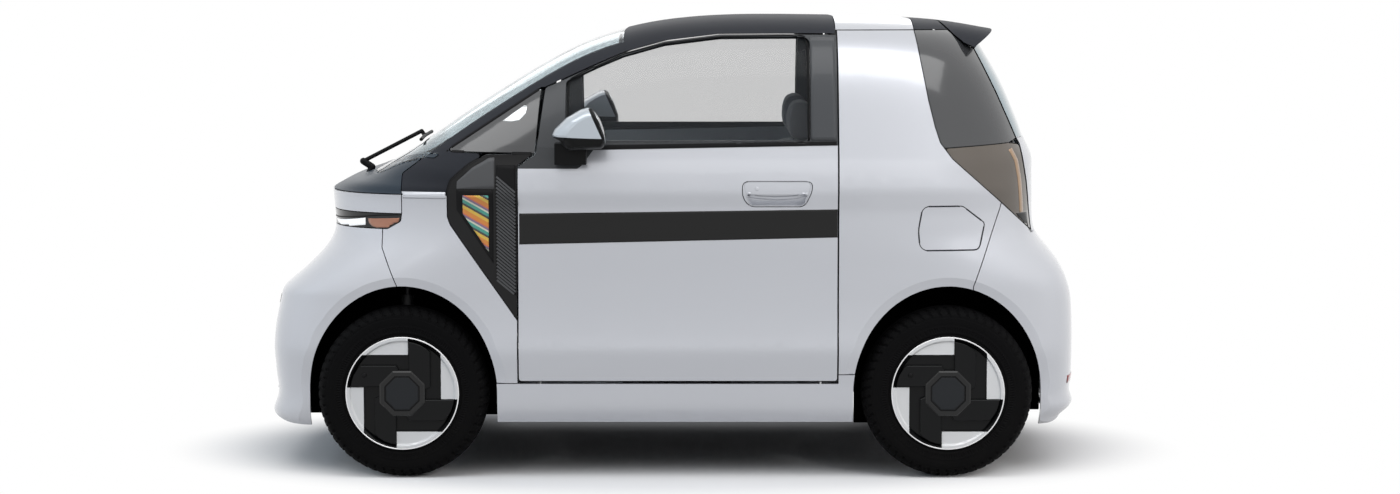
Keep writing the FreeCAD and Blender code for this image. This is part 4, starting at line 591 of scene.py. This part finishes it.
def tyreGrid(centre, side):
    # radius and depth run from bead to bead over the crown; grooves are cut by angle and depth
    t, half = tyre, car["tyreWidth"] / 2
    profile = np.array([(radius, half - inset) for radius, inset in t["profile"]] + [(t["crown"], 0.0)])
    whole = np.concatenate([profile, profile[:-1][::-1] * (1, -1)])
    angle = np.linspace(0, 2 * np.pi, t["steps"], endpoint=False)
    radius = np.broadcast_to(whole[:, 0], (len(angle), len(whole))).copy()
    depth = np.broadcast_to(whole[:, 1], radius.shape).copy()
    turn = angle[:, None] / (2 * np.pi)
    shoulder = (radius > t["shoulderRadius"]) & (np.abs(depth) > t["shoulderDepth"])
    groove = shoulder & (((turn * t["blocks"] + np.abs(depth) * t["slant"]) % 1.0) < t["blockShare"])
    radius -= np.where(groove, t["treadDepth"] * t["shoulderCut"], 0)
    depth -= np.where(groove & (radius < t["wallRadius"]), np.sign(depth) * t["wallCut"], 0)
    ring = (np.abs(np.abs(depth) - t["ringDepth"]) < t["ringHalf"]) | (np.abs(depth) < t["middleHalf"])
    radius -= np.where(ring & (radius > t["ringRadius"]), t["treadDepth"], 0)
    ribbed = (radius > t["ribInner"]) & (radius < t["ribOuter"])
    depth -= np.where(ribbed & ((turn * t["ribs"]) % 1.0 < t["ribShare"]), np.sign(depth) * t["ribDepth"], 0)
    grid = np.stack([centre[0] + radius * np.cos(angle)[:, None], centre[1] + side * depth,
                     centre[2] + radius * np.sin(angle)[:, None]], -1)
    return np.concatenate([grid, grid[:, :1]], 1), True, False


for corner, centre, side in corners:
    piece = gridPiece("treadedTyre_" + corner, [tyreGrid(centre, side)], corner + "_wheel", "rubber", "tyre",
                      smooth=False)
    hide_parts("tyre_" + corner)
print("tyres made")

# wheel plates on the four spokes, a bright edge round the rim, and a valve
wheelFace = dict(
    plateRadius=0.1845, plateRight=0.0195, plateFoot=0.1285, plateDepth=0.0802, plateThick=0.0016, rows=14,
    columns=40, crowding=0.7, lipDepth=0.0856, lipStart=0.17, lipEnd=0.1765,
    edge=[(0.184, 0.08), (0.184, 0.0846), (0.1853, 0.0856), (0.1874, 0.0856), (0.1887, 0.0842), (0.1887, 0.08),
        (0.184, 0.08)], edgeSteps=180,
    valve=[(-0.125, 0.07, 0.0615), (-0.125, 0.0868, 0.0615), (-0.125, 0.0905, 0.0615)],
    valveRadius=[0.0085, 0.0085, 0.0055]
)


def plateGrid(quarter):
    # x runs from the disc's edge to the spoke, z from the slot up to the disc; the plate steps out over the lip
    w, radius, foot = wheelFace, wheelFace["plateRadius"], wheelFace["plateFoot"]
    x = np.linspace(-math.sqrt(radius ** 2 - foot ** 2), w["plateRight"], w["columns"])[None, :]
    x = x + np.zeros((w["rows"], 1))
    top = np.sqrt(np.maximum(radius ** 2 - x ** 2, foot ** 2))
    z = foot + (top - foot) * np.linspace(0, 1, w["rows"])[:, None] ** w["crowding"]
    rise = np.clip((np.hypot(x, z) - w["lipStart"]) / (w["lipEnd"] - w["lipStart"]), 0, 1)
    depth = w["plateDepth"] + (w["lipDepth"] - w["plateDepth"]) * rise ** 2 * (3 - 2 * rise)
    c, s = math.cos(quarter * math.pi / 2), math.sin(quarter * math.pi / 2)
    front = np.stack([x * c + z * s, depth, -x * s + z * c], -1)
    return front, front - (0, w["plateThick"], 0)


for corner, centre, side in corners:
    wheelBody, flip = corner + "_wheel", (1, side, 1)
    plates = [closedSheet(*(sheet * flip + centre for sheet in plateGrid(quarter))) for quarter in range(4)]
    gridPiece("wheelPlates_" + corner, plates, wheelBody, "wheelSilver", "wheel", smooth=False)
    edge = revolved(wheelFace["edge"], wheelFace["edgeSteps"], centre, side)
    gridPiece("rimEdge_" + corner, [edge], wheelBody, "brightEdge", "wheel")
    stem = tubeAlong(np.array(wheelFace["valve"]) * flip + centre, wheelFace["valveRadius"], 16)
    gridPiece("tyreValve_" + corner, [stem], wheelBody, "softBlack", "wheel")

# eight-sided hub frame and cap
hub = dict(
    hubFrame=[(0.061, 0.0874), (0.063, 0.0914), (0.0765, 0.0914), (0.0812, 0.0876), (0.0812, 0.0866), (0.061, 0.0866),
        (0.061, 0.0874)], hubCap=[(0.0, 0.0892), (0.054, 0.0892), (0.0575, 0.0884), (0.0575, 0.0872), (0.0, 0.0872)]
)
for corner, centre, side in corners:
    for name, finishName in (("hubFrame", "hubGloss"), ("hubCap", "hubGrey")):
        gridPiece(name + "_" + corner, [revolved(hub[name], 8, centre, side, np.pi / 8)], corner + "_wheel",
                  finishName, "wheel", smooth=False)
print("wheel faces made")

# door trim: outlines in pixels of the picture, sizes in metres, and scales in millimetres to a pixel
door = dict(
    stripe=[(520.4, 212.6), (836.6, 208.4), (836.6, 236.4), (520.4, 243.4)],
    belt=[(600, 146.8), (700, 145.2), (835.6, 143.2)], beltHeight=0.012, frameScale=3.345,
    pillar=[(809.8, 38.5), (833.5, 38.5), (834.8, 139), (809.8, 139)], sealWidth=0.006,
    windowLine=[(569.5, 139), (569.5, 81.5), (597, 67.5), (624, 55.5), (664, 44.9), (719, 38.2), (790, 37.2),
        (804, 38.5), (807, 44), (807, 139)]
)


def doorPair(name, grid, finishName, slot="dark_trim", on=("door_left",), **how):
    laidPair(name, grid, on, finishName, slot, "door_left", **how)


onFrame = ("door_left", "door_glass_left")
doorPair("doorStripe", quad(pictured(door["stripe"]), 14, 120), "blackBand")
doorPair("beltMoulding", ribbon(pictured(door["belt"]), door["beltHeight"], 5), "softBlack", on=onFrame, lift=0.0035,
         thick=0.005)
doorPair("doorPillar", quad(pictured(door["pillar"], door["frameScale"]), 24, 8), "pillarGloss", "dark_gloss",
         lift=0.0022, thick=0.003)
doorPair("windowSeal", ribbon(pictured(door["windowLine"], door["frameScale"]), door["sealWidth"]), "softBlack",
         on=onFrame, lift=0.0016, thick=0.003)

# a painted strip over the wing's upper edge, and dark seams round the quarter glass and the garnish
seams = dict(
    wingEdge=[(403.8, 190.4), (448.4, 190.4), (448.4, 197), (403.8, 197)], wingScale=3.34, width=0.0078,
    quarter=[(-0.7502, 1.0865), (-0.4341, 1.2945), (-0.4505, 1.0822)], quarterCorner=0.006,
    garnish=[(-0.7417, 0.945), (-0.7417, 0.9573), (-0.7292, 0.9943), (-0.671, 1.0448), (-0.6126, 1.0794),
        (-0.51, 1.0815)]
)
onFront = ["side_glass", "roof_shell", "side_garnish"]
laidPair("wingEdge", quad(pictured(seams["wingEdge"], seams["wingScale"]), 4, 40), ["wings", "roof_shell"],
         "bodyPaint", "body_paint", lift=0.0009, thick=0.0012)
laidPair("quarterSeal", ribbon(rounded(seams["quarter"], seams["quarterCorner"]), seams["width"], 2, closed=True),
         onFront, "softBlack", lift=0.0006, thick=0.0012)
laidPair("garnishSeal", ribbon(seams["garnish"], seams["width"], 2), onFront + ["wings"], "softBlack", lift=0.0006,
         thick=0.0012)

# the door's grip and lock, and painted shade along the seam round the grip and along the seam of the charging flap:
# dark ribbons laid over the gaps
handle = dict(
    bar=[(747.5, 193.8), (757, 196.6), (776, 197.6), (796, 196.4), (806.3, 193.2)], barWidth=0.01,
    seam=[(742, 180.6), (811.5, 180.6), (811.5, 190), (804, 205.7), (748.8, 205.7), (742, 196)], seamCorner=0.02,
    seamWidth=0.0026, lock=(756.5, 187.6), lockRadius=0.0062
)
flap = dict(
    outline=[(0.8299, 0.9063), (0.9634, 0.9063), (1.0388, 0.8487), (1.0183, 0.7614), (0.8217, 0.7606),
        (0.8149, 0.8273)], corner=0.018, width=0.0048
)
doorPair("doorGrip", ribbon(pictured(handle["bar"]), handle["barWidth"], 5), "bodyPaint", "body_paint", lift=0.0035,
         thick=0.006)
line = rounded(pictured(handle["seam"]), handle["seamCorner"])
# a dark ribbon of painted shade along the gap round the grip
doorPair("gripSeam", ribbon(line, handle["seamWidth"], 2, closed=True), "seamDark", lift=0.0007, thick=0.001)
# a dark ribbon of painted shade along the gap round the charging flap
line = rounded(flap["outline"], flap["corner"])
laid("flapSeam_left", [ribbon(line, flap["width"], 2, closed=True)], ["hoop_panels", "charge_flap"], "seamDark",
     lift=0.0007, thick=0.001)
angle = np.linspace(0, 2 * np.pi, 24, endpoint=False)
ring = pictured([handle["lock"]])[0] + handle["lockRadius"] * np.stack([np.cos(angle), np.sin(angle)], -1)
doorPair("doorLock", fanned(ring, 4, 24), "bodyPaint", "steel")
print("door trim made")

# lamps: a white bar and an amber corner behind each dark lens, with a dark upper edge
lamps = dict(
    turn=-6.65, reach=0.95, sightX=-1.1662, sightPixel=341.5, pixel=0.003305, y=-0.95, scaleAt=[331, 345, 366, 403],
    scale=[3.43, 3.4, 3.355, 3.333], edgeWidth=0.004,
    white=[(337.2, 216.9), (365.8, 216.9), (365.8, 223.8), (340.6, 223.2)],
    amber=[(368.4, 217.6), (399.8, 217.4), (398.2, 221.3), (394.6, 224.4), (388.4, 226.4), (377, 226.6),
        (372.4, 225.2), (369.4, 221.8)],
    edge=[(331.6, 214.6), (345, 214.4), (380, 214.2), (402.6, 214)]
)


def sighted(points):
    # places in the picture near the nose, once the car is turned so that the camera looks at them squarely;
    # a pixel is larger towards the tip, where the surface is further from the camera
    flat = np.array(points, float)
    height = pictured(flat, np.interp(flat[:, 0], lamps["scaleAt"], lamps["scale"]))[:, 1]
    return np.stack([lamps["sightX"] + (flat[:, 0] - lamps["sightPixel"]) * lamps["pixel"], height], -1)


onLamp = dict(on=["headlamps"], slot="lamp_lens", turn=lamps["turn"], reach=lamps["reach"])
laidPair("dayLamp", quad(sighted(lamps["white"]), 6, 40, lamps["y"]), finishName="lampWhite", **onLamp)
laidPair("turnLamp", fanned(sighted(lamps["amber"]), 6, 72, lamps["y"]), finishName="lampAmber", **onLamp)
line = ribbon(sighted(lamps["edge"]), lamps["edgeWidth"], 3, lamps["y"])
laidPair("lampEdge", line, finishName="softBlack", lift=0.0018, thick=0.002, **onLamp)
print("lamps made")

# the garnish ahead of the door: upper plate, display with a plain striped pattern, ribbed strip
garnish = dict(
    plateTop=[(458.5, 187.5), (458.5, 181), (474.5, 166.8), (490.5, 157.6), (496, 157)],
    plateFoot=[(458.5, 188), (470, 188), (480, 188), (496, 188)],
    glass=[(458, 189.2), (494.6, 189.2), (494.6, 262.5), (458, 209.3)],
    pattern=[(464.2, 194.6), (490, 194.6), (490, 251), (464.2, 213.2)],
    strip=[(497.4, 164.5), (517, 164.5), (517, 295), (497.4, 266.8)], ribPitch=3.55, ribFrom=176, ribTo=286,
    ribLeft=498, ribRun=18.6, ribDrop=15.5, ribFoot=293, ribWidth=0.0058
)
g, onGarnish = garnish, ["side_garnish"]
laidPair("garnishPlate", between(pictured(g["plateTop"]), pictured(g["plateFoot"]), 8, 24), onGarnish, "ribTrim",
         lift=0.0016, thick=0.002)
laidPair("displayGlass", quad(pictured(g["glass"]), 16, 16), onGarnish, "softBlack", "dark_gloss", thick=0.002)
laidPair("displayPattern", quad(pictured(g["pattern"]), 16, 12), onGarnish, "stripedPattern", lift=0.0022,
         thick=0.001)
laidPair("garnishStrip", quad(pictured(g["strip"]), 30, 8), onGarnish, "softBlack", lift=0.001, thick=0.002)
ribs = []
for step in range(int((g["ribTo"] - g["ribFrom"]) / g["ribPitch"])):
    top = g["ribFrom"] + step * g["ribPitch"]
    foot = min(top + g["ribDrop"], g["ribFoot"])
    run = g["ribRun"] * (foot - top) / g["ribDrop"]
    ribs.append(ribbon(pictured([(g["ribLeft"], top), (g["ribLeft"] + run, foot)]), g["ribWidth"]))
laidPair("garnishRibs", ribs, onGarnish, "ribTrim", lift=0.0036, thick=0.003, smooth=False)
print("garnish made")

# clear pane in the dark quarter glass, a painted highlight as a gleam down the tail lamp, and the lamp's tip
glassTrim = dict(
    pane=[(505, 120), (516, 111.8), (526.5, 104.6), (529.3, 105.4), (528, 112.5), (522, 119),
        (514, 120.4)],
    gleam=[(1008.5, 148.5), (1014.5, 160), (1018, 178), (1019.8, 200), (1020.5, 212)],
    gleamWidth=0.013, tip=[(1009.5, 212.5), (1026.5, 212.5), (1028.6, 227), (1022, 223.5)], scale=3.36, tailY=-0.6
)
pane, gleam, tip = [pictured(glassTrim[part], glassTrim["scale"]) for part in ("pane", "gleam", "tip")]
laidPair("quarterPane", fanned(pane, 6, 60), ["side_glass"], "mirrorGlass", "dark_glass", lift=0.0008, thick=0.001)
# the tail lamp's gleam is a painted highlight, a warm strip laid on the lens
laidPair("tailGleam", ribbon(gleam, glassTrim["gleamWidth"], 4, glassTrim["tailY"]), ["tail_lamps"], "tailGold",
         "tail_lens")
laidPair("tailTip", quad(tip, 6, 12, glassTrim["tailY"]), ["tail_lamps"], "pianoBlack", "tail_lens", lift=0.001)
print("glass trim made")

# mirror glass on the back of each door mirror, with its dark rim
mirror = dict(
    corners=[(-0.886, 1.118), (-0.752, 1.118), (-0.752, 1.226), (-0.886, 1.226)], corner=0.045, x=0.1, glassShare=0.9
)
loop = resampled(rounded(mirror["corners"], mirror["corner"]), 80, closed=True)


def behindMirror(share, rings=6):
    # rings about the glass's middle, in a plane across the car behind the mirror
    return np.insert(sized(loop, np.linspace(share, 0, rings)), 0, mirror["x"], -1), True


doorPair("mirrorRim", behindMirror(1.0), "pianoBlack", "dark_gloss", ["mirror_left"], lift=0.0008, thick=0.001,
         axis="X")
doorPair("mirrorGlass", behindMirror(mirror["glassShare"]), "mirrorGlass", "steel", ["mirror_left"], lift=0.0022,
         thick=0.0012, axis="X")
print("mirrors made")

# nose and tail: slots, grille bars and reflectors pressed onto the bumpers from the front and the back;
# each sheet is its two y places, its foot and its top
ends = dict(
    noseSlot=(-0.44, 0.44, 0.56, 0.59), lowerGrille=(-0.4, 0.4, 0.255, 0.345), frontX=-1.6, bars=5, barInset=0.01,
    barMargin=0.012, barHalf=0.004, reflector=(-0.56, -0.4, 0.3, 0.325), rearX=1.6, reach=0.7
)


def acrossSheet(y0, y1, low, high, x, rows=6, columns=60):
    # a sheet across the car at some x
    y, z = np.meshgrid(np.linspace(y0, y1, columns), np.linspace(low, high, rows))
    return np.stack([np.full(y.shape, x), y, z], -1), False


onNose = dict(on=["front_bumper"], axis="X", reach=ends["reach"])
laid("noseSlot", [acrossSheet(*ends["noseSlot"], ends["frontX"])], finishName="softBlack", **onNose)
laid("lowerGrille", [acrossSheet(*ends["lowerGrille"], ends["frontX"])], finishName="softBlack", lift=0.001, **onNose)
y0, y1, low, high = ends["lowerGrille"]
bars = [acrossSheet(y0 + ends["barInset"], y1 - ends["barInset"], z - ends["barHalf"], z + ends["barHalf"],
                    ends["frontX"], 3)
        for z in np.linspace(low + ends["barMargin"], high - ends["barMargin"], ends["bars"])]
laid("grilleBars", bars, finishName="darkTrim", lift=0.0045, thick=0.004, **onNose)
laidPair("rearReflector", acrossSheet(*ends["reflector"], ends["rearX"], 4, 20), ["rear_bumper"], "tailRed",
         "tail_lens", lift=0.002, axis="X", reach=ends["reach"])
print("bumper trim made")

# padded seats; each piece is its side outline, half width, pinch, whether it has seams, and its fill
seat = dict(
    middle=0.3, voxel=0.009, pressure=4.0, frames=20, cap=0.014, corner=0.035, power=5, seamAt=0.105, seamWidth=0.006,
    seamDepth=0.006,
    seatCushion=([(-0.208, 0.44), (-0.212, 0.515), (-0.165, 0.54), (-0.04, 0.535), (0.115, 0.53), (0.2, 0.552),
        (0.235, 0.52), (0.225, 0.44)], 0.218, 0.16, True, 0.7),
    seatBack=([(0.225, 0.548), (0.262, 0.68), (0.312, 0.85), (0.378, 1.078), (0.41, 1.092), (0.466, 1.092),
        (0.48, 1.06), (0.43, 0.85), (0.372, 0.62), (0.325, 0.5), (0.262, 0.5)], 0.218, 0.2, True, 0.7),
    headRest=([(0.396, 1.112), (0.392, 1.19), (0.402, 1.232), (0.428, 1.244), (0.462, 1.24), (0.478, 1.215),
        (0.48, 1.13), (0.47, 1.106)], 0.108, 0.22, False, 0.8)
)


def pillow(outline, middle, half, pinch, rows=26, count=64):
    # the side outline carried across; it shrinks towards its centre by one minus a superellipse of the way out
    ring = resampled(rounded(outline, seat["corner"]), count, closed=True)
    way = np.sin(np.linspace(-np.pi / 2, np.pi / 2, rows))
    size = 1 - pinch * (1 - (1 - np.abs(way) ** seat["power"]) ** (1 / seat["power"]))
    grid = standing(sized(ring, size), (middle + half * way)[:, None])
    return capped(grid, grid[0].mean(0), grid[-1].mean(0))


def stuffed(piece):
    remesh = piece.modifiers.new("remesh", "REMESH")
    remesh.mode = "VOXEL"
    remesh.voxel_size = seat["voxel"]
    applied(piece)
    start = pointsOf(piece.data)
    cloth = piece.modifiers.new("cloth", "CLOTH")
    cloth.settings.use_pressure = True
    cloth.settings.uniform_pressure_force = seat["pressure"]
    cloth.settings.effector_weights.gravity = 0
    for step in range(1, seat["frames"] + 1):
        scene.frame_set(step)
    applied(piece)
    scene.frame_set(1)
    move = pointsOf(piece.data) - start
    far = np.linalg.norm(move, axis=1)[:, None]
    end = start + move * np.minimum(1, seat["cap"] / np.maximum(far, 1e-9))
    piece.data.vertices.foreach_set("co", end.ravel())
    smooth = piece.modifiers.new("smooth", "SUBSURF")
    smooth.levels = smooth.render_levels = 1
    applied(piece)
    piece.data.shade_smooth()


def sewn(mesh):
    # each seam pulls in what lies near its plane: depth times a bell of the distance, along the normals
    points, normals = pointsOf(mesh), pointsOf(mesh, "normal")
    seams = -seat["middle"] + np.array([-1, 1]) * seat["seamAt"]
    pull = np.exp(-((points[:, 1:2] - seams) / seat["seamWidth"]) ** 2).sum(1)
    points = points - normals * (np.clip(pull, 0, 1) * seat["seamDepth"])[:, None]
    mesh.vertices.foreach_set("co", points.ravel())


for name in ("seatCushion", "seatBack", "headRest"):
    outline, half, pinch, seamed, fill = seat[name]
    piece = gridPiece(name + "_left", [pillow(outline, -seat["middle"], half, pinch)], None, "seatCloth")
    stuffed(piece)
    if seamed:
        sewn(piece.data)
    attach(piece, "body")
    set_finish(piece, "seat_cloth")
    right = mirrorPiece(piece, "body")
    for one in (piece, right):
        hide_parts("seats")


def roundedBlock(y, x0, x1, half, z0, z1, corner, edge=0.004, share=0.97):
    # a box with rounded upright edges: the outline in plan carried up, closed with rings to its middle
    plan = [(x0, y - half), (x1, y - half), (x1, y + half), (x0, y + half)]
    ring = resampled(rounded(plan, corner), 48, closed=True)
    height = np.array([z0, z0, z0 + edge, z1 - edge, z1, z1])[:, None]
    return np.insert(sized(ring, [0, share, 1, 1, share, 0]), 2, height, -1), False, True


# seat bases: a block is its two x places, half width, foot, top and corner; a post its x and z places
seatBase = dict(
    box=(-0.15, 0.26, 0.14, 0.345, 0.44, 0.03), rail=(-0.185, 0.3, 0.018, 0.3005, 0.347, 0.008),
    railsAt=(-0.12, 0.12), postsAt=(-0.05, 0.05), post=[(0.435, 1.06), (0.437, 1.13)], postRadius=0.007
)
for name, side in sides.items():
    middle = side * seat["middle"]
    base = [roundedBlock(middle, *seatBase["box"])]
    base += [roundedBlock(middle + at, *seatBase["rail"]) for at in seatBase["railsAt"]]
    base += [tubeAlong([(x, middle + at, z) for x, z in seatBase["post"]], seatBase["postRadius"])
             for at in seatBase["postsAt"]]
    piece = gridPiece("seatBase_" + name, base, "body", "darkTrim", "cabin_trim", smooth=False)
    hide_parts("seats")
print("seats made")

# mud guards inside the arches, ahead of and behind each tyre; the front ones stay clear of the steered tyres
guard = dict(
    front=(0.414, [(-1.245, -1.17, 0.178, 0.42), (-0.665, -0.592, 0.172, 0.42)]),
    rear=(0.526, [(0.613, 0.69, 0.16, 0.42), (1.15, 1.24, 0.205, 0.47)]), half=0.002, corner=0.001
)
for name, side in sides.items():
    sheets = [roundedBlock(side * out, x0, x1, guard["half"], z0, z1, guard["corner"])
              for out, places in (guard["front"], guard["rear"]) for x0, x1, z0, z1 in places]
    gridPiece("mudGuard_" + name, sheets, "body", "liner", "liner", smooth=False)

# the driver's screen, and armrests: a side outline, and its share at some y places
cabin = dict(
    screen=(-0.29, -0.512, -0.5, 0.115, 0.992, 1.085, 0.004), armrestCorner=0.03,
    armrest=[(-0.22, 0.735), (0.3, 0.735), (0.34, 0.76), (0.3, 0.79), (-0.2, 0.79), (-0.24, 0.765)],
    armrestShares=[0, 0.9, 1, 1, 0], armrestY=[-0.612, -0.612, -0.62, -0.668, -0.668]
)
gridPiece("driverScreen", [roundedBlock(*cabin["screen"])], "body", "pianoBlack", "cabin_trim", smooth=False)
ring = resampled(rounded(cabin["armrest"], cabin["armrestCorner"]), 64, closed=True)
grid = standing(sized(ring, cabin["armrestShares"]), np.array(cabin["armrestY"])[:, None])
piece = gridPiece("armrest_left", [(grid, False, True)], "door_left", "cabinTrim", "cabin_trim")
mirrorPiece(piece, "door_right")
print("cabin made")

# floor: shaded near the car, fading to plain white further out; white world for the camera
studio = dict(
    floorSize=16.0, fadeFrom=0.86, fadeTo=1.2, fadeShare=0.66, white=(1, 1, 1, 1), floorColor=(0.86, 0.86, 0.87, 1),
    bounceColor=(0.13, 0.13, 0.14, 1), roomColor=(0.9, 0.94, 1.0, 1), roomStrength=0.2
)


def seenRays(tree):
    # 1 for what the camera sees straight on, in a gloss or through glass
    rays = newNode(tree, "LightPath").outputs
    direct = mathNode(tree, "ADD", rays["Is Camera Ray"], rays["Is Glossy Ray"])
    return mathNode(tree, "ADD", direct, rays["Is Transmission Ray"], clamp=True)


def mixedInto(tree, output, factor, first, second):
    # two shaders mixed into the output
    mix = newNode(tree, "MixShader")
    for index, socket in enumerate((factor, first.outputs[0], second.outputs[0])):
        tree.links.new(socket, mix.inputs[index])
    tree.links.new(mix.outputs[0], newNode(tree, output).inputs["Surface"])


size = studio["floorSize"]
u, v = np.meshgrid(np.linspace(-size, size, 3), np.linspace(-size, size, 3))
floor = gridPiece("studioFloor", [(np.stack([u, v, np.zeros_like(u)], -1), False, False)], None, "darkTrim")
if floor.data.polygons[0].normal.z < 0:
    floor.data.flip_normals()
pale, tree, shader = newMaterial("paleFloor")
tree.nodes.clear()
bounce = newNode(tree, "LightPath").outputs["Is Diffuse Ray"]
shaded = newNode(tree, "BsdfDiffuse", {"Color": mixNode(tree, bounce, studio["floorColor"], studio["bounceColor"])})
white = newNode(tree, "Emission", {"Color": studio["white"]})
place = objectAxes(tree)
along = mathNode(tree, "POWER", mathNode(tree, "MULTIPLY", place["X"], studio["fadeShare"]), 2.0)
away = mathNode(tree, "SQRT", mathNode(tree, "ADD", along, mathNode(tree, "POWER", place["Y"], 2.0)))
fade = newNode(tree, "MapRange", {"Value": away, "From Min": studio["fadeFrom"], "From Max": studio["fadeTo"]},
               interpolation_type="SMOOTHSTEP")
mixedInto(tree, "OutputMaterial", mathNode(tree, "MULTIPLY", fade.outputs["Result"], seenRays(tree)), shaded, white)
floor.data.materials.clear()
floor.data.materials.append(pale)

world = bpy.data.worlds.new("studio")
scene.world = world
world.use_nodes = True
tree = world.node_tree
tree.nodes.clear()
room = newNode(tree, "Background", {"Color": studio["roomColor"], "Strength": studio["roomStrength"]})
seen = newNode(tree, "Background", {"Color": studio["white"]})
mixedInto(tree, "OutputWorld", seenRays(tree), room, seen)

# area lights; the ones that aren't mirrored leave no highlights
lights = dict(
    overhead=dict(place=(0.0, -2.0, 4.6), aim=(0, -0.7, 0.6), size=(6.5, 2.4), power=94),
    side=dict(place=(0.3, -6.5, 2.9), aim=(0, 0, 0.8), size=(7.0, 1.2), power=18),
    front=dict(place=(-5.0, -1.6, 2.4), aim=(-0.9, 0, 0.7), size=(3.4, 2.8), power=78, color=(0.78, 0.9, 1.0),
               mirrored=False),
    rear=dict(place=(5.0, -1.8, 2.4), aim=(0.9, 0, 0.7), size=(2.6, 2.4), power=62, color=(1.0, 0.96, 0.92),
              mirrored=False),
    quarterFill=dict(place=(2.4, -2.8, 2.2), aim=(0.9, -0.5, 0.8), size=(1.4, 1.4), power=36, mirrored=False),
    wingFill=dict(place=(-2.2, -2.8, 2.2), aim=(-0.85, -0.5, 0.75), size=(1.4, 1.4), power=15, mirrored=False),
    far=dict(place=(0.0, 5.0, 3.4), aim=(0, 0, 0.7), size=(5.0, 2.0), power=35)
)
for name, lamp in lights.items():
    data = bpy.data.lights.new(name, "AREA")
    data.shape = "RECTANGLE"
    data.size, data.size_y = lamp["size"]
    data.energy = lamp["power"]
    data.color = lamp.get("color", (1, 1, 1))
    light = added(name, data)
    light.location = lamp["place"]
    light.visible_glossy = lamp.get("mirrored", True)
    light.rotation_euler = (Vector(lamp["aim"]) - Vector(lamp["place"])).to_track_quat("-Z", "Y").to_euler()

view = dict(place=(0.0939, -10.8275, 1.6482), lens=78.97, sensor=36.0, down=4.95)
cameraData = bpy.data.cameras.new("camera")
cameraData.sensor_width = view["sensor"]
cameraData.lens = view["lens"]
camera = added("camera", cameraData)
camera.location = view["place"]
camera.rotation_euler = (math.radians(90 - view["down"]), 0, 0)
scene.camera = camera
scene.view_settings.view_transform = "Standard"

for skin in skins.values():
    bpy.data.objects.remove(skin)
print("scene finished")
